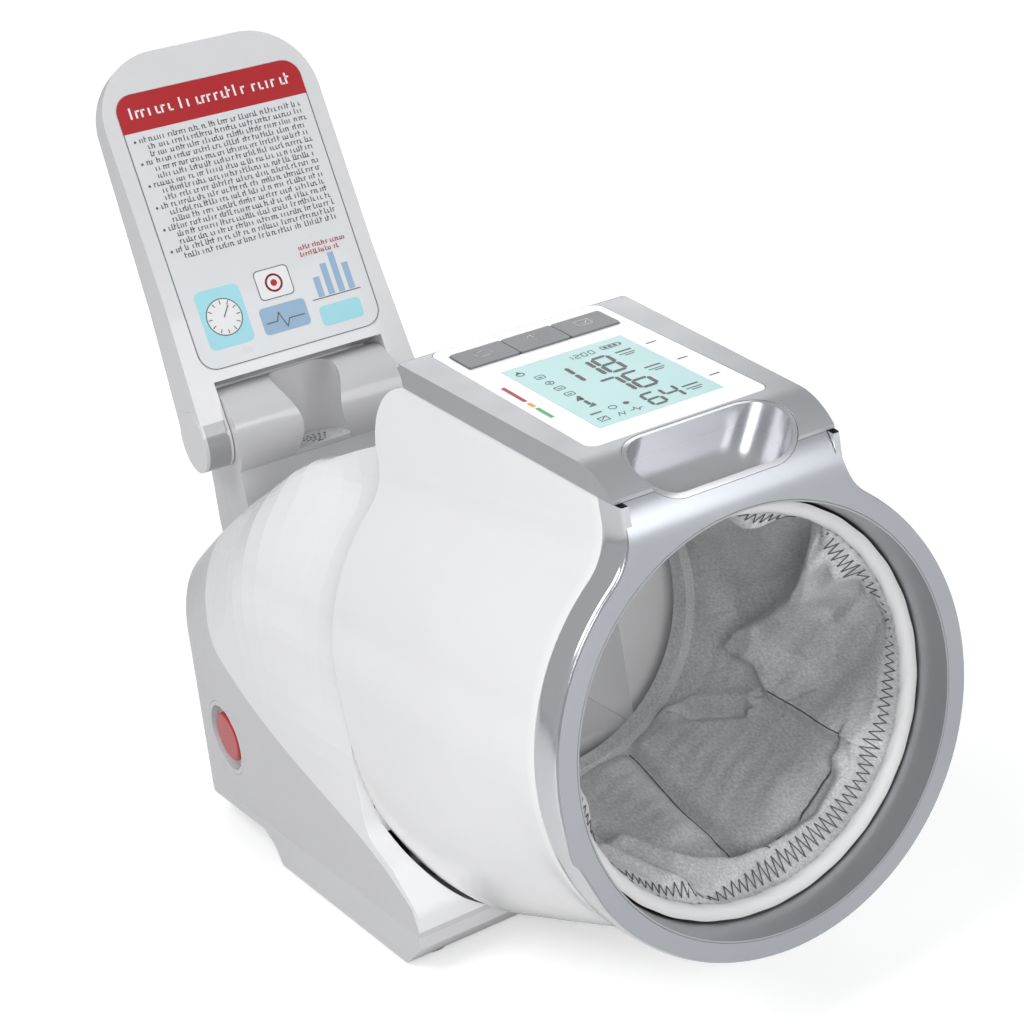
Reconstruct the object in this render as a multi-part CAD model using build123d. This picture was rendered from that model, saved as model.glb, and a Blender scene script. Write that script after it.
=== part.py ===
from build123d import *
import math
import os

os.makedirs("parts", exist_ok=True)

# Upper arm blood pressure monitor: an arm barrel that tilts on a wide base, with a folding lid
# at the back. All lengths are in millimetres.
# The pieces are worked out in the arm's own axes: X to the right, Y from the barrel's front face
# towards the back, Z up from the middle of the arm opening. At the end all pieces are moved so
# that the origin lies on the table under the middle of the whole length.

# Place of the whole
axis_height = 113.0

# Barrel and tower
barrel_radius = 80.0
barrel_length = 158.0
barrel_wall = 2.5
opening_radius = 73.0
tower_half_front = 41.3
tower_half_rear = 47.0
tower_fillet = 22.0
top_front = 94.3
top_slope = 9.63
nose_round = 27.0
tower_rear_round = 33.0
trim_start = 1.2
trim_depth = 14.0
trim_thick = 2.6
trim_proud = 0.5
bulkhead_depth = 140.0
bulkhead_thick = 2.5
rear_mouth_top = 88.0

# Chin under the barrel, which turns in the base
tilt_depth = 130.0
tilt_range = 12.0
neck_radius = 103.0
chin_slope = 15.0
neck_side_power = 2.4
neck_floor_power = 3.4
neck_gap = 1.3

# Cap with the display
cap_skirt = 8.5
cap_rear = 131.0
cap_wall = 2.2
cap_proud = 0.8
cap_corner = 12.0
cap_edge_round = 5.0
panel_half = 34.7
panel_start = 26.0
panel_end = 126.0
panel_thick = 2.0
panel_corner = 4.0
ledge_width = 3.0
ledge_thick = 1.2
fit_gap = 0.15
screen_half = 24.0
screen_start = 36.5
screen_end = 95.5
module_margin = 3.0
module_thick = 4.0
board_thick = 1.6
key_width = 20.1
key_length = 14.1
key_pitch = 20.5
key_middle = 112.0
key_flange = 1.0
key_flange_thick = 1.0
key_proud = 0.6
key_travel = 0.8
key_gap = 0.3
switch_width = 6.0

# Grip cup in the nose of the tower
cup_half = 31.0
cup_width = 28.0
cup_wall = 1.6
cup_depth = 9.0
cup_top_depth = 25.0
cup_top_height = 98.5
cup_low_depth = 1.0
cup_low_height = 83.0

# Arm lining
plate_thick = 4.5
collar_depth = 13.5
collar_wall = 1.6
drum_wall = 1.5
drum_step = 90.0
drum_rear_radius = 71.0
rim_ring_thick = 4.0
rim_ring_width = 4.2
bladder_thick = 2.6
sleeve_thick = 8.0
rear_ring_depth = 8.5
soft_gap = 0.3

# Tilt pivots
pivot_pin_radius = 3.0
pivot_clearance = 0.05
arm_inner = 71.7
arm_thick = 3.0
arm_width = 14.0
arm_knee_depth = 167.0
arm_knee_height = -52.0
arm_gap = 0.8
boss_radius = 7.0

# Base
base_half = 80.0
base_wall = 2.5
seam_height = -95.0
toe_depth = 127.0
toe_top = -84.0
toe_floor_start = 146.0
shoulder_depth = 142.0
shoulder_height = -71.0
heel_depth = 259.0
rear_floor = -99.5

foot_proud = 1.0
foot_radius = 7.0
rear_end = 358.0
channel_half = 41.0
channel_wall = 2.5
fender_start = 159.2
fender_radius = 76.3
fender_drop = 7.5
fender_half = 43.4
rim_front = 80.0
rim_slope = 0.24
rim_curve = 0.00095
rim_half_rear = 46.0
fender_blend_start = 176.0
fender_blend_end = 253.0
below = -150.0

# Elbow rest
rest_gap = 0.3
rest_thick = 3.0
lip_depth = 160.5
lip_height = -62.0
rest_back_depth = 262.0
rest_back_height = -57.0
rest_round = 40.0
ramp_angle = 53.0
lip_drop = 8.0

# Column and lid hinge
hinge_depth = 331.0
hinge_height = 54.0
roll_radius = 19.7
column_half = 40.0
column_wall = 2.5
column_front = 317.0
column_seam = 340.0
groove_radius = 15.0
groove_centre = 323.0
grille_height = 42.0
grille_thick = 2.4
grille_hole = 0.7
grille_pitch = 5.4
speaker_height = 7.0
hinge_pin_radius = 4.0
hinge_clearance = 0.05

# Lid
lid_lean = 18.5
lid_face = 13.5
lid_half_top = 50.5
lid_half_low = 53.0
lid_length = 165.0
lid_top_round = 30.0
lid_top_back = 5.5
lid_low_back = -13.5
lid_front_thick = 4.0
lid_wall = 2.2
lid_side_gap = 0.4
trough_gap = 0.9
window_top = 21.3
label_half = 43.7
label_start = 25.8
label_end = 148.8
label_thick = 0.5
label_corner = 8.0
cap_band = 1.3

# Stop button on the left side
stop_depth = 295.0
stop_height = -64.0
stop_radius = 11.0
stop_ring_radius = 16.5
stop_ring_wall = 2.0
stop_travel = 1.2
stop_gap = 0.3

# Works inside the base
cell_radius = 13.0
cell_length = 50.0
door_thick = 2.0
pump_radius = 13.5
pump_length = 58.0
screw_radius = 2.0


def top_z(y):
    return top_front + math.tan(math.radians(top_slope)) * y


def skirt_z(y):
    return top_z(y) - cap_skirt


def chin_depth(y):
    """How far the lowest line of the barrel lies under the axis at depth y."""
    lean = math.radians(chin_slope)
    touch = tilt_depth - neck_radius * math.sin(lean)
    if y > touch:
        return math.sqrt(neck_radius ** 2 - (y - tilt_depth) ** 2)
    straight = neck_radius * math.cos(lean) + (y - touch) * math.tan(lean)
    return max(barrel_radius, straight)


def rim_z(y):
    along = max(0.0, y - barrel_length)
    return rim_front - rim_slope * along - rim_curve * along ** 2


def smooth(value):
    value = min(1.0, max(0.0, value))
    return value * value * (3 - 2 * value)


def outline(corners):
    """Closed face of straight runs; a corner's third number is its rounding radius."""
    stops = []
    count = len(corners)
    for index, corner in enumerate(corners):
        here = Vector(corner[0], corner[1])
        radius = corner[2] if len(corner) > 2 else 0
        if radius == 0:
            stops.append([here])
            continue
        before = (Vector(*corners[index - 1][:2]) - here).normalized()
        after = (Vector(*corners[(index + 1) % count][:2]) - here).normalized()
        half = math.radians(before.get_angle(after) / 2)
        reach = radius / math.tan(half)
        inward = (before + after).normalized()
        middle = here + inward * (radius / math.sin(half) - radius)
        stops.append([here + before * reach, middle, here + after * reach])
    edges = []
    for index, stop in enumerate(stops):
        if len(stop) == 3:
            edges.append(ThreePointArc(*stop))
        edges.append(Line(stop[-1], stops[(index + 1) % count][0]))
    return make_face(edges)


def arc_about(centre, start, end):
    """Short arc about a centre point from start to end."""
    middle = Vector(*centre)
    first = Vector(*start) - middle
    last = Vector(*end) - middle
    bulge = middle + (first + last).normalized() * first.length
    return ThreePointArc(Vector(*start), bulge, Vector(*end))


def block(x, y, z):
    """Box between a pair of planes along each axis."""
    size = [pair[1] - pair[0] for pair in (x, y, z)]
    centre = [(pair[0] + pair[1]) / 2 for pair in (x, y, z)]
    return Pos(*centre) * Box(*size)


def slab(y_start, y_end):
    return block((-200, 200), (y_start, y_end), (-200, 300))


def rod_x(radius, x_start, x_end, y, z):
    return Pos((x_start + x_end) / 2, y, z) * Rot(0, 90, 0) * Cylinder(radius, abs(x_end - x_start))


def rod_y(radius, y_start, y_end, x=0, z=0):
    return Pos(x, (y_start + y_end) / 2, z) * Rot(90, 0, 0) * Cylinder(radius, y_end - y_start)


def rod_z(radius, z_start, z_end, x, y):
    return Pos(x, y, (z_start + z_end) / 2) * Cylinder(radius, z_end - z_start)


def ring_y(outer, inner, y_start, y_end):
    return rod_y(outer, y_start, y_end) - rod_y(inner, y_start - 1, y_end + 1)


def side_prism(face, half):
    """Profile in the Y-Z plane drawn out to both sides."""
    return extrude(Plane.YZ * face, half, both=True)


def across_prism(face, x_start, x_end):
    """Profile in the Y-Z plane drawn out between two side planes."""
    return extrude(Plane.YZ.offset(x_start) * face, x_end - x_start)


def front_plane(y):
    return Plane(origin=(0, y, 0), x_dir=(1, 0, 0), z_dir=(0, -1, 0))


def both_sides(shape):
    return shape + mirror(shape, Plane.YZ)


pieces = {}


def save(name, shape):
    pieces[name] = shape


# Barrel form: a round barrel with a tower that runs into it through hollow fillets,
# and a chin that swells from the round into a flatter neck.

def barrel_section(y, inset):
    radius = barrel_radius - inset
    half = tower_half_front + (tower_half_rear - tower_half_front) * y / barrel_length - inset
    fillet_radius = tower_fillet + inset
    across = half + fillet_radius
    up = math.sqrt((radius + fillet_radius) ** 2 - across ** 2)
    share = radius / (radius + fillet_radius)
    swell = (chin_depth(y) - barrel_radius) / (neck_radius - barrel_radius)
    depth = chin_depth(y) - inset
    side_power = 2 + (neck_side_power - 2) * swell
    floor_power = 2 + (neck_floor_power - 2) * swell
    ceiling = 160
    lower = [(radius, 0)]
    for step in range(1, 12):
        angle = math.pi * step / 12
        side = math.copysign(abs(math.cos(angle)) ** (2 / side_power), math.cos(angle))
        lower.append((radius * side, -depth * math.sin(angle) ** (2 / floor_power)))
    lower.append((-radius, 0))
    edges = [
        Line((half, ceiling), (half, up)),
        arc_about((across, up), (half, up), (across * share, up * share)),
        arc_about((0, 0), (across * share, up * share), (radius, 0)),
        Spline(lower, tangents=[(0, -1), (0, 1)]),
        arc_about((0, 0), (-radius, 0), (-across * share, up * share)),
        arc_about((-across, up), (-across * share, up * share), (-half, up)),
        Line((-half, up), (-half, ceiling)),
        Line((-half, ceiling), (half, ceiling)),
    ]
    return front_plane(y) * make_face(edges)


def barrel_form(inset, y_start=0.0, y_end=barrel_length, steps=10):
    sections = []
    for step in range(steps + 1):
        sections.append(barrel_section(y_start + (y_end - y_start) * step / steps, inset))
    return loft(sections)


outer_form = barrel_form(0)
room_form = barrel_form(barrel_wall)

head_profile = outline([
    (0, -150),
    (0, top_z(0), nose_round),
    (barrel_length, top_z(barrel_length)),
    (barrel_length, -150),
])
shell_profile = outline([
    (-5, -150),
    (-5, skirt_z(-5)),
    (barrel_length, skirt_z(barrel_length), tower_rear_round),
    (barrel_length, -150),
])
roof_start = cap_rear - cap_wall - 1
shell_room_profile = outline([
    (-5, -150),
    (-5, 200),
    (roof_start, 200),
    (roof_start, skirt_z(roof_start) - barrel_wall),
    (barrel_length - barrel_wall, skirt_z(barrel_length - barrel_wall) - barrel_wall,
     tower_rear_round - barrel_wall),
    (barrel_length - barrel_wall, -150),
])
head_form = outer_form & side_prism(head_profile, 120)
below_skirt = side_prism(outline([(-20, -150), (-20, skirt_z(-20)), (200, skirt_z(200)), (200, -150)]), 120)
above_skirt = side_prism(outline([(-20, skirt_z(-20)), (-20, 200), (200, 200), (200, skirt_z(200))]), 120)


# Tilt pivots: bent steel arms rise from the base into the gap between the lining and the shell.

def pivot_arm(grow):
    half = arm_width / 2 + grow
    eye = rod_x(half, arm_inner - grow, arm_inner + arm_thick + grow, tilt_depth, 0)
    knee = rod_x(half, arm_inner - grow, arm_inner + arm_thick + grow, arm_knee_depth, arm_knee_height)
    run = Vector(arm_knee_depth - tilt_depth, arm_knee_height)
    side = Vector(-run.Y, run.X).normalized() * half
    bar = across_prism(make_face(Polyline(
        Vector(tilt_depth, 0) + side,
        Vector(tilt_depth, 0) - side,
        Vector(arm_knee_depth, arm_knee_height) - side,
        Vector(arm_knee_depth, arm_knee_height) + side,
        close=True)), arm_inner - grow, arm_inner + arm_thick + grow)
    leg = block((arm_inner - grow, arm_inner + arm_thick + grow),
                (arm_knee_depth - half, arm_knee_depth + half),
                (floor_top, arm_knee_height))
    return eye + knee + bar + leg


floor_top = -axis_height + foot_proud + base_wall
tilt_axis = Axis((0, tilt_depth, 0), (1, 0, 0))

arm_plate = pivot_arm(0) + block((arm_inner - 12, arm_inner + arm_thick),
                                 (arm_knee_depth - arm_width / 2, arm_knee_depth + arm_width / 2),
                                 (floor_top, floor_top + arm_thick))
arm_plate -= rod_x(pivot_pin_radius + pivot_clearance, 60, 90, tilt_depth, 0)
arm_plate -= rod_z(screw_radius, floor_top - 1, floor_top + 5, arm_inner - 6, arm_knee_depth)
pivot_arms = both_sides(arm_plate)
save("pivot_arms", pivot_arms)

# Barrel shell
barrel_shell = outer_form & side_prism(shell_profile, 120) & slab(trim_depth, barrel_length + 1)
front_room = room_form & side_prism(shell_room_profile, 120) & slab(trim_depth - 1, bulkhead_depth)
rear_start = bulkhead_depth + bulkhead_thick
rear_room = room_form & side_prism(shell_room_profile, 120) & slab(rear_start, barrel_length + 1)
mouth_room = room_form & block((-200, 200), (rear_start, barrel_length + 1), (-200, rear_mouth_top))
barrel_shell = barrel_shell - front_room - rear_room - mouth_room
barrel_shell -= rod_y(drum_rear_radius + fit_gap, bulkhead_depth - 1, rear_start + 1)
pin_boss = rod_x(boss_radius, arm_inner + arm_thick + arm_gap, barrel_radius - 1, tilt_depth, 0)
barrel_shell += both_sides(pin_boss)
pin_seat = rod_x(pivot_pin_radius, 60, barrel_radius - 1, tilt_depth, 0)
barrel_shell -= both_sides(pin_seat)
for share in range(5):
    swept = pivot_arm(arm_gap).rotate(tilt_axis, tilt_range * share / 4)
    barrel_shell -= both_sides(swept - rod_x(boss_radius + 1, arm_inner + arm_thick, 90, tilt_depth, 0))
save("barrel_shell", barrel_shell)

pivot_pins = both_sides(rod_x(pivot_pin_radius, drum_rear_radius + soft_gap, barrel_radius - 1,
                              tilt_depth, 0))
save("pivot_pins", pivot_pins)

# Bright band round the front edge of the barrel
trim_band = barrel_form(-trim_proud, trim_start, trim_depth, 2)
trim_band -= barrel_form(trim_thick, 0, trim_depth + 1, 2)
trim_band &= below_skirt
save("trim_band", trim_band)

# Satin front plate: a flat face that rolls back into the nose of the tower
face_front = barrel_form(trim_proud, 0, trim_start, 1)
face_back = barrel_form(trim_thick, trim_start, plate_thick, 1)
face_top = barrel_form(trim_proud, 0, plate_thick, 1) & above_skirt
front_plate = (face_front + face_back + face_top) & side_prism(head_profile, 120)
front_plate -= rod_y(opening_radius, -1, 20)

# Cap over the tower, with a stepped window for the display panel
top_plane = Plane(
    origin=(0, 0, top_front),
    x_dir=(1, 0, 0),
    z_dir=(0, -math.sin(math.radians(top_slope)), math.cos(math.radians(top_slope))),
)
along_slope = 1 / math.cos(math.radians(top_slope))


def on_top(x, y, n, corner=0.0):
    """Block laid in the sloping top: x and y ranges as seen from above, n above the top plane."""
    width = x[1] - x[0]
    length = (y[1] - y[0]) * along_slope
    shape = RectangleRounded(width, length, corner) if corner else Rectangle(width, length)
    centre = Pos((x[0] + x[1]) / 2, (y[0] + y[1]) / 2 * along_slope)
    return extrude(top_plane.offset(n[0]) * centre * shape, n[1] - n[0])


def cap_form(inset):
    sides = barrel_form(inset - cap_proud, 0, barrel_length, 4)
    profile = outline([
        (plate_thick, skirt_z(plate_thick)),
        (plate_thick, 200),
        (cap_rear - inset, 200),
        (cap_rear - inset, skirt_z(cap_rear - inset)),
    ])
    nose = outline([
        (-1 + inset, -150),
        (-1 + inset, top_z(0) - inset, nose_round - inset),
        (cap_rear - inset, top_z(cap_rear) - inset, cap_edge_round),
        (cap_rear - inset, -150),
    ])
    half = tower_half_rear + cap_proud + 1 - inset
    plan = outline([
        (-half, -20),
        (half, -20),
        (half, cap_rear - inset, cap_corner - inset),
        (-half, cap_rear - inset, cap_corner - inset),
    ])
    upright = extrude(Plane.XY * plan, 200)
    return sides & side_prism(profile, 120) & side_prism(nose, 120) & upright


top_wall = panel_thick + ledge_thick
display_cap = cap_form(0)
cap_hollow = cap_form(cap_wall) & slab(plate_thick - 5, cap_rear) & side_prism(outline([
    (plate_thick - 5, -50),
    (plate_thick - 5, top_z(plate_thick - 5) - top_wall),
    (cap_rear, top_z(cap_rear) - top_wall),
    (cap_rear, -50),
]), 120)
display_cap -= cap_hollow
panel_x = (-panel_half, panel_half)
panel_y = (panel_start, panel_end)
display_cap -= on_top((-panel_half - fit_gap, panel_half + fit_gap),
                      (panel_start - fit_gap, panel_end + fit_gap), (-panel_thick, 20), panel_corner)
display_cap -= on_top((-panel_half + ledge_width, panel_half - ledge_width),
                      (panel_start + ledge_width, panel_end - ledge_width), (-top_wall - 20, 1))

# Grip cup: a stadium dish across the nose
cup_run = Vector(0, cup_top_depth - cup_low_depth, cup_top_height - cup_low_height)
cup_plane = Plane(
    origin=(0, (cup_top_depth + cup_low_depth) / 2, (cup_top_height + cup_low_height) / 2),
    x_dir=(1, 0, 0),
    z_dir=(0, -cup_run.Z, cup_run.Y),
)


def cup_stadium(inset, n_start, n_end):
    shape = SlotOverall(2 * (cup_half - inset), cup_width - 2 * inset)
    return extrude(cup_plane.offset(n_start) * shape, n_end - n_start)


cup_hole = cup_stadium(0, -cup_depth - cup_wall, 40)
front_plate -= cup_hole
display_cap -= cup_hole
save("front_plate", front_plate)
grip_cup = (cup_stadium(fit_gap, -cup_depth - cup_wall + fit_gap, 40) & head_form)
grip_cup -= cup_stadium(fit_gap + cup_wall, -cup_depth, 40)
save("grip_cup", grip_cup)
save("display_cap", display_cap)

# Display panel, screen and keys
key_bar_half = 1.5 * key_pitch
display_panel = on_top(panel_x, panel_y, (-panel_thick, 0), panel_corner)
display_panel -= on_top((-screen_half - fit_gap, screen_half + fit_gap),
                        (screen_start - fit_gap, screen_end + fit_gap), (-panel_thick - 1, 1))
display_panel -= on_top((-key_bar_half, key_bar_half),
                        (key_middle - key_length / 2 - key_gap, key_middle + key_length / 2 + key_gap),
                        (-panel_thick - 1, 1))
save("display_panel", display_panel)

lcd_window = on_top((-screen_half, screen_half), (screen_start, screen_end), (-panel_thick, 0))
save("lcd_window", lcd_window)

module_x = (-screen_half - module_margin, screen_half + module_margin)
module_y = (screen_start - module_margin, screen_end + module_margin)
board_top = -panel_thick - module_thick
lcd_module = on_top(module_x, module_y, (board_top, -panel_thick))
save("lcd_module", lcd_module)

display_board = on_top((-panel_half + ledge_width + 1, panel_half - ledge_width - 1),
                       (panel_start + ledge_width + 1, panel_end - ledge_width - 1),
                       (board_top - board_thick, board_top))
save("display_board", display_board)

flange_top = -panel_thick - 0.1
flange_low = flange_top - key_flange_thick
switch_top = flange_low - key_travel - 0.1
switches = []
for index, name in enumerate(["memory_key", "power_key", "user_key"]):
    middle = (index - 1) * key_pitch
    cap_x = (middle - key_width / 2, middle + key_width / 2)
    cap_y = (key_middle - key_length / 2, key_middle + key_length / 2)
    key = on_top(cap_x, cap_y, (flange_top, key_proud), 1.0)
    key += on_top(cap_x, (cap_y[0] - key_flange, cap_y[1] + key_flange), (flange_low, flange_top))
    save(name, key)
    switches.append(on_top((middle - switch_width / 2, middle + switch_width / 2),
                           (key_middle - switch_width / 2, key_middle + switch_width / 2),
                           (board_top, switch_top)))
save("key_switches", switches[0] + switches[1] + switches[2])

# Arm lining: collar, drum, soft rim, air bladder, sleeve and rear ring
collar_radius = opening_radius - fit_gap
collar_profile = Plane.XY * make_face(Polyline(
    (collar_radius - collar_wall + 1, 0),
    (collar_radius, 0),
    (collar_radius, collar_depth),
    (collar_radius - collar_wall, collar_depth),
    close=True))
opening_collar = revolve(collar_profile, Axis.Y)
save("opening_collar", opening_collar)

drum_front_radius = opening_radius + drum_wall
inner_drum = ring_y(drum_front_radius, opening_radius, plate_thick, drum_step)
inner_drum += ring_y(drum_front_radius, drum_rear_radius - drum_wall, drum_step, drum_step + drum_wall)
inner_drum += ring_y(drum_rear_radius, drum_rear_radius - drum_wall, drum_step, rear_start)
save("inner_drum", inner_drum)

rim_outer = collar_radius - collar_wall + 1
ring_start = collar_depth
ring_end = ring_start + rim_ring_thick
cuff_rim_ring = ring_y(opening_radius - fit_gap, rim_outer - rim_ring_width, ring_start, ring_end)
cuff_rim_ring = fillet(cuff_rim_ring.edges().filter_by(GeomType.CIRCLE)
                       .group_by(Axis.Y)[0].sort_by(SortBy.RADIUS)[0], 1.5)
save("cuff_rim_ring", cuff_rim_ring)

lining_radius = drum_rear_radius - drum_wall
bladder_outer = lining_radius - soft_gap
bladder_inner = bladder_outer - bladder_thick
sleeve_outer = bladder_inner - soft_gap
sleeve_inner = sleeve_outer - sleeve_thick
sleeve_start = ring_end + soft_gap
sleeve_end = rear_start - rear_ring_depth - soft_gap
air_bladder = ring_y(bladder_outer, bladder_inner, sleeve_start + 8, sleeve_end)
save("air_bladder", air_bladder)
cuff_sleeve = ring_y(sleeve_outer, sleeve_inner, sleeve_start, sleeve_end)
save("cuff_sleeve", cuff_sleeve)
cuff_rear_ring = ring_y(lining_radius, sleeve_inner, rear_start - rear_ring_depth, rear_start)
save("cuff_rear_ring", cuff_rear_ring)

# Base form: side walls that go on from the barrel's line and fall to the column at the back

def fender_line(y, u):
    """Point of the side wall's outer line, u from 0 at its foot to 1 at the rim."""
    rim = rim_z(y)
    upright = 0.2
    foot = -40.0
    across = fender_half + tower_fillet
    up = math.sqrt((fender_radius + tower_fillet) ** 2 - across ** 2)
    join = math.atan2(up, across)
    start = math.asin(fender_drop / fender_radius)
    if u < upright:
        part = smooth(u / upright)
        start_x = fender_radius * math.cos(start)
        front = (base_half + (start_x - base_half) * part, foot * (1 - u / upright))
    elif u < 0.65:
        angle = start + (join - start) * (u - upright) / (0.65 - upright)
        front = (fender_radius * math.cos(angle), fender_radius * math.sin(angle) - fender_drop)
    elif u < 0.85:
        turn = math.pi + join * (1 - (u - 0.65) / 0.2)
        front = (across + tower_fillet * math.cos(turn), up - fender_drop + tower_fillet * math.sin(turn))
    else:
        low = up - fender_drop
        front = (fender_half, low + (max(rim, low + 1) - low) * (u - 0.85) / 0.15)
    fall = smooth((y - fender_blend_end + 20) / 80)
    low = -35.0 * fall
    power = 2 - 0.5 * fall
    half = rim_half_rear + 5 * fall
    if u < upright:
        rear = (base_half, foot + (low - foot) * u / upright)
    else:
        angle = math.pi / 2 * (u - upright) / (1 - upright)
        rear = (half + (base_half - half) * math.cos(angle) ** (2 / power),
                low + (rim - low) * math.sin(angle) ** (2 / power))
    mix = smooth((y - fender_blend_start) / (fender_blend_end - fender_blend_start))
    return (front[0] + (rear[0] - front[0]) * mix, front[1] + (rear[1] - front[1]) * mix)


def fender_point(y, u, inset):
    here = fender_line(y, u)
    step = 0.004
    first = fender_line(y, max(0.0, u - step))
    last = fender_line(y, min(1.0, u + step))
    run = Vector(last[0] - first[0], last[1] - first[1]).normalized()
    return (here[0] - inset * run.Y, here[1] + inset * run.X)


def base_section(y, inset, steps):
    """Cross-section of the base at depth y; its side walls are drawn in short straight runs."""
    half = base_half - inset
    right = [fender_point(y, step / steps, inset) for step in range(steps + 1)]
    left = [(-x, z) for x, z in reversed(right)]
    return front_plane(y) * make_face(Polyline((half, below), *right, *left, (-half, below), close=True))


def base_section_form(inset, steps):
    first = base_section(fender_start, inset, steps)
    sections = [Pos(0, -39, 0) * first, Pos(0, -3, 0) * first]
    for y in (170, 182, 194, 206, 218, 230, 242, 253, 264, 276, 288, 300, 314, 335, 372):
        sections.append(base_section(y, inset, steps))
    return loft(sections, ruled=True)


def base_plan_form(inset):
    """Rear of the base in plan: square at the table, rounder and further forward higher up."""
    levels = [(-150, rear_end, 28), (-20, rear_end - 3, 52), (130, rear_end - 12, 74)]
    sections = []
    for z, rear, corner in levels:
        half = base_half + 0.5 - inset
        face = outline([
            (-half, 100),
            (half, 100),
            (half, rear - inset, corner - inset),
            (-half, rear - inset, corner - inset),
        ])
        sections.append(Plane.XY.offset(z) * face)
    return loft(sections, ruled=True)


floor_z = -axis_height + foot_proud
base_profile = outline([
    (toe_floor_start, floor_z),
    (toe_depth + 3, -100),
    (toe_depth, toe_top, 5),
    (shoulder_depth, shoulder_height, 12),
    (fender_start, shoulder_height + 7, 10),
    (fender_start, 120),
    (rear_end + 10, 120),
    (rear_end + 10, rear_floor),
    (heel_depth + 13, rear_floor),
    (heel_depth + 5, rear_floor - 4.5),
    (heel_depth, floor_z),
])
base_outer = base_section_form(0, 24) & side_prism(base_profile, 120) & base_plan_form(0)
base_room = (base_section_form(base_wall, 12) & side_prism(offset(base_profile, -base_wall), 120)
             & base_plan_form(base_wall))


def neck_sweep(grow):
    """Room that the neck takes over the whole tilt, with a margin round it."""
    neck = barrel_form(-grow, tilt_depth - 30, barrel_length + grow, 5)
    neck &= block((-200, 200), (0, 300), (-200, 0))
    swept = neck
    for step in range(1, 4):
        swept += neck.rotate(tilt_axis, -tilt_range * step / 3)
    return swept


neck_cut = neck_sweep(neck_gap)
neck_wall = neck_sweep(neck_gap + base_wall)


# Elbow rest: a floor with a rounded lip that turns up into a ramp at the column
ramp_rise = (column_front - rest_gap - rest_back_depth) * math.tan(math.radians(ramp_angle))
ramp_low = rest_thick / math.cos(math.radians(ramp_angle))
ramp_shift = rest_thick * math.tan(math.radians(ramp_angle / 2))


def rest_profile(drop, thick):
    """Floor and ramp, lowered by drop and thick below its upper face."""
    end_depth = column_front - rest_gap
    end_height = rest_back_height + ramp_rise - drop
    return outline([
        (lip_depth, lip_height - drop - lip_drop),
        (lip_depth, lip_height - drop, 5),
        (rest_back_depth, rest_back_height - drop, rest_round),
        (end_depth, end_height),
        (end_depth, end_height - ramp_low),
        (rest_back_depth + ramp_shift, rest_back_height - drop - thick, rest_round + thick),
        (lip_depth + thick, lip_height - drop - thick, 2),
        (lip_depth + thick, lip_height - drop - lip_drop),
    ])


elbow_rest = side_prism(rest_profile(0, rest_thick), channel_half - rest_gap)
save("elbow_rest", elbow_rest)

above_rest = outline([
    (lip_depth - 30, lip_height - rest_thick - 1),
    (lip_depth, lip_height - rest_thick - 1),
    (rest_back_depth, rest_back_height - rest_thick - 1, rest_round),
    (column_seam, rest_back_height - rest_thick - 1
     + (column_seam - rest_back_depth) * math.tan(math.radians(ramp_angle))),
    (column_seam, 150),
    (lip_depth - 30, 150),
])

# Line between the white upper shell and the grey side cover, seen from the side
parting_line = Spline([(131, -84), (150, -73), (190, -59.5), (240, -44), (275, -27), (300, -6), (314, 22)])
white_region = make_face([
    parting_line,
    Line((314, 22), (314, 150)),
    Line((314, 150), (110, 150)),
    Line((110, 150), (110, -93)),
    Line((110, -93), (128.5, -93)),
    Line((128.5, -93), (131, -84)),
])

base_shell = base_outer - (base_room - neck_wall) - neck_cut
channel = side_prism(above_rest, channel_half)
channel_plates = across_prism(above_rest, channel_half, channel_half + channel_wall)
channel_plates = both_sides(channel_plates)

arm_slots = both_sides(pivot_arm(soft_gap))
upper_shells = (base_shell & side_prism(white_region, 120)) - channel
upper_shells += (base_outer & channel_plates) - neck_cut
upper_shells -= arm_slots
save("upper_shell_left", upper_shells & block((-200, 0), (0, 400), (-200, 200)))
save("upper_shell_right", upper_shells & block((0, 200), (0, 400), (-200, 200)))

# Column at the back that carries the lid
column_face = (Plane.XY * make_face(Polyline(
    (column_front, -40),
    (column_front, 22),
    (column_front + 1.5, 46),
    (hinge_depth, hinge_height),
    (hinge_depth + roll_radius - 0.3, hinge_height),
    (rear_end - 2, 10),
    (rear_end - 2, -40),
    close=True))) + Pos(hinge_depth, hinge_height) * Circle(roll_radius)
column_outer = side_prism(column_face, column_half)
column_room = side_prism(offset(column_face, -column_wall), column_half - column_wall)
groove_cut = rod_z(groove_radius, grille_height - grille_thick, 120, 0, groove_centre)
groove_wall = rod_z(groove_radius + column_wall, grille_height - grille_thick - speaker_height, 120,
                    0, groove_centre)
speaker_cut = rod_z(groove_radius, -60, 60, 0, groove_centre)
hinge_boss = rod_x(hinge_pin_radius + 3, column_half - 12, column_half, hinge_depth, hinge_height)
hinge_bore = rod_x(hinge_pin_radius, column_half - 12, column_half + 1, hinge_depth, hinge_height)
column_body = column_outer - (column_room - groove_wall) - groove_cut
column_body -= speaker_cut & column_room & block((-50, 50), (300, 360), (-60, grille_height - grille_thick))
column_body = column_body + both_sides(hinge_boss) - both_sides(hinge_bore)
column_front_half = column_body & slab(0, column_seam)
column_rear_half = column_body & slab(column_seam, 400)
save("column_front", column_front_half)

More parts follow.
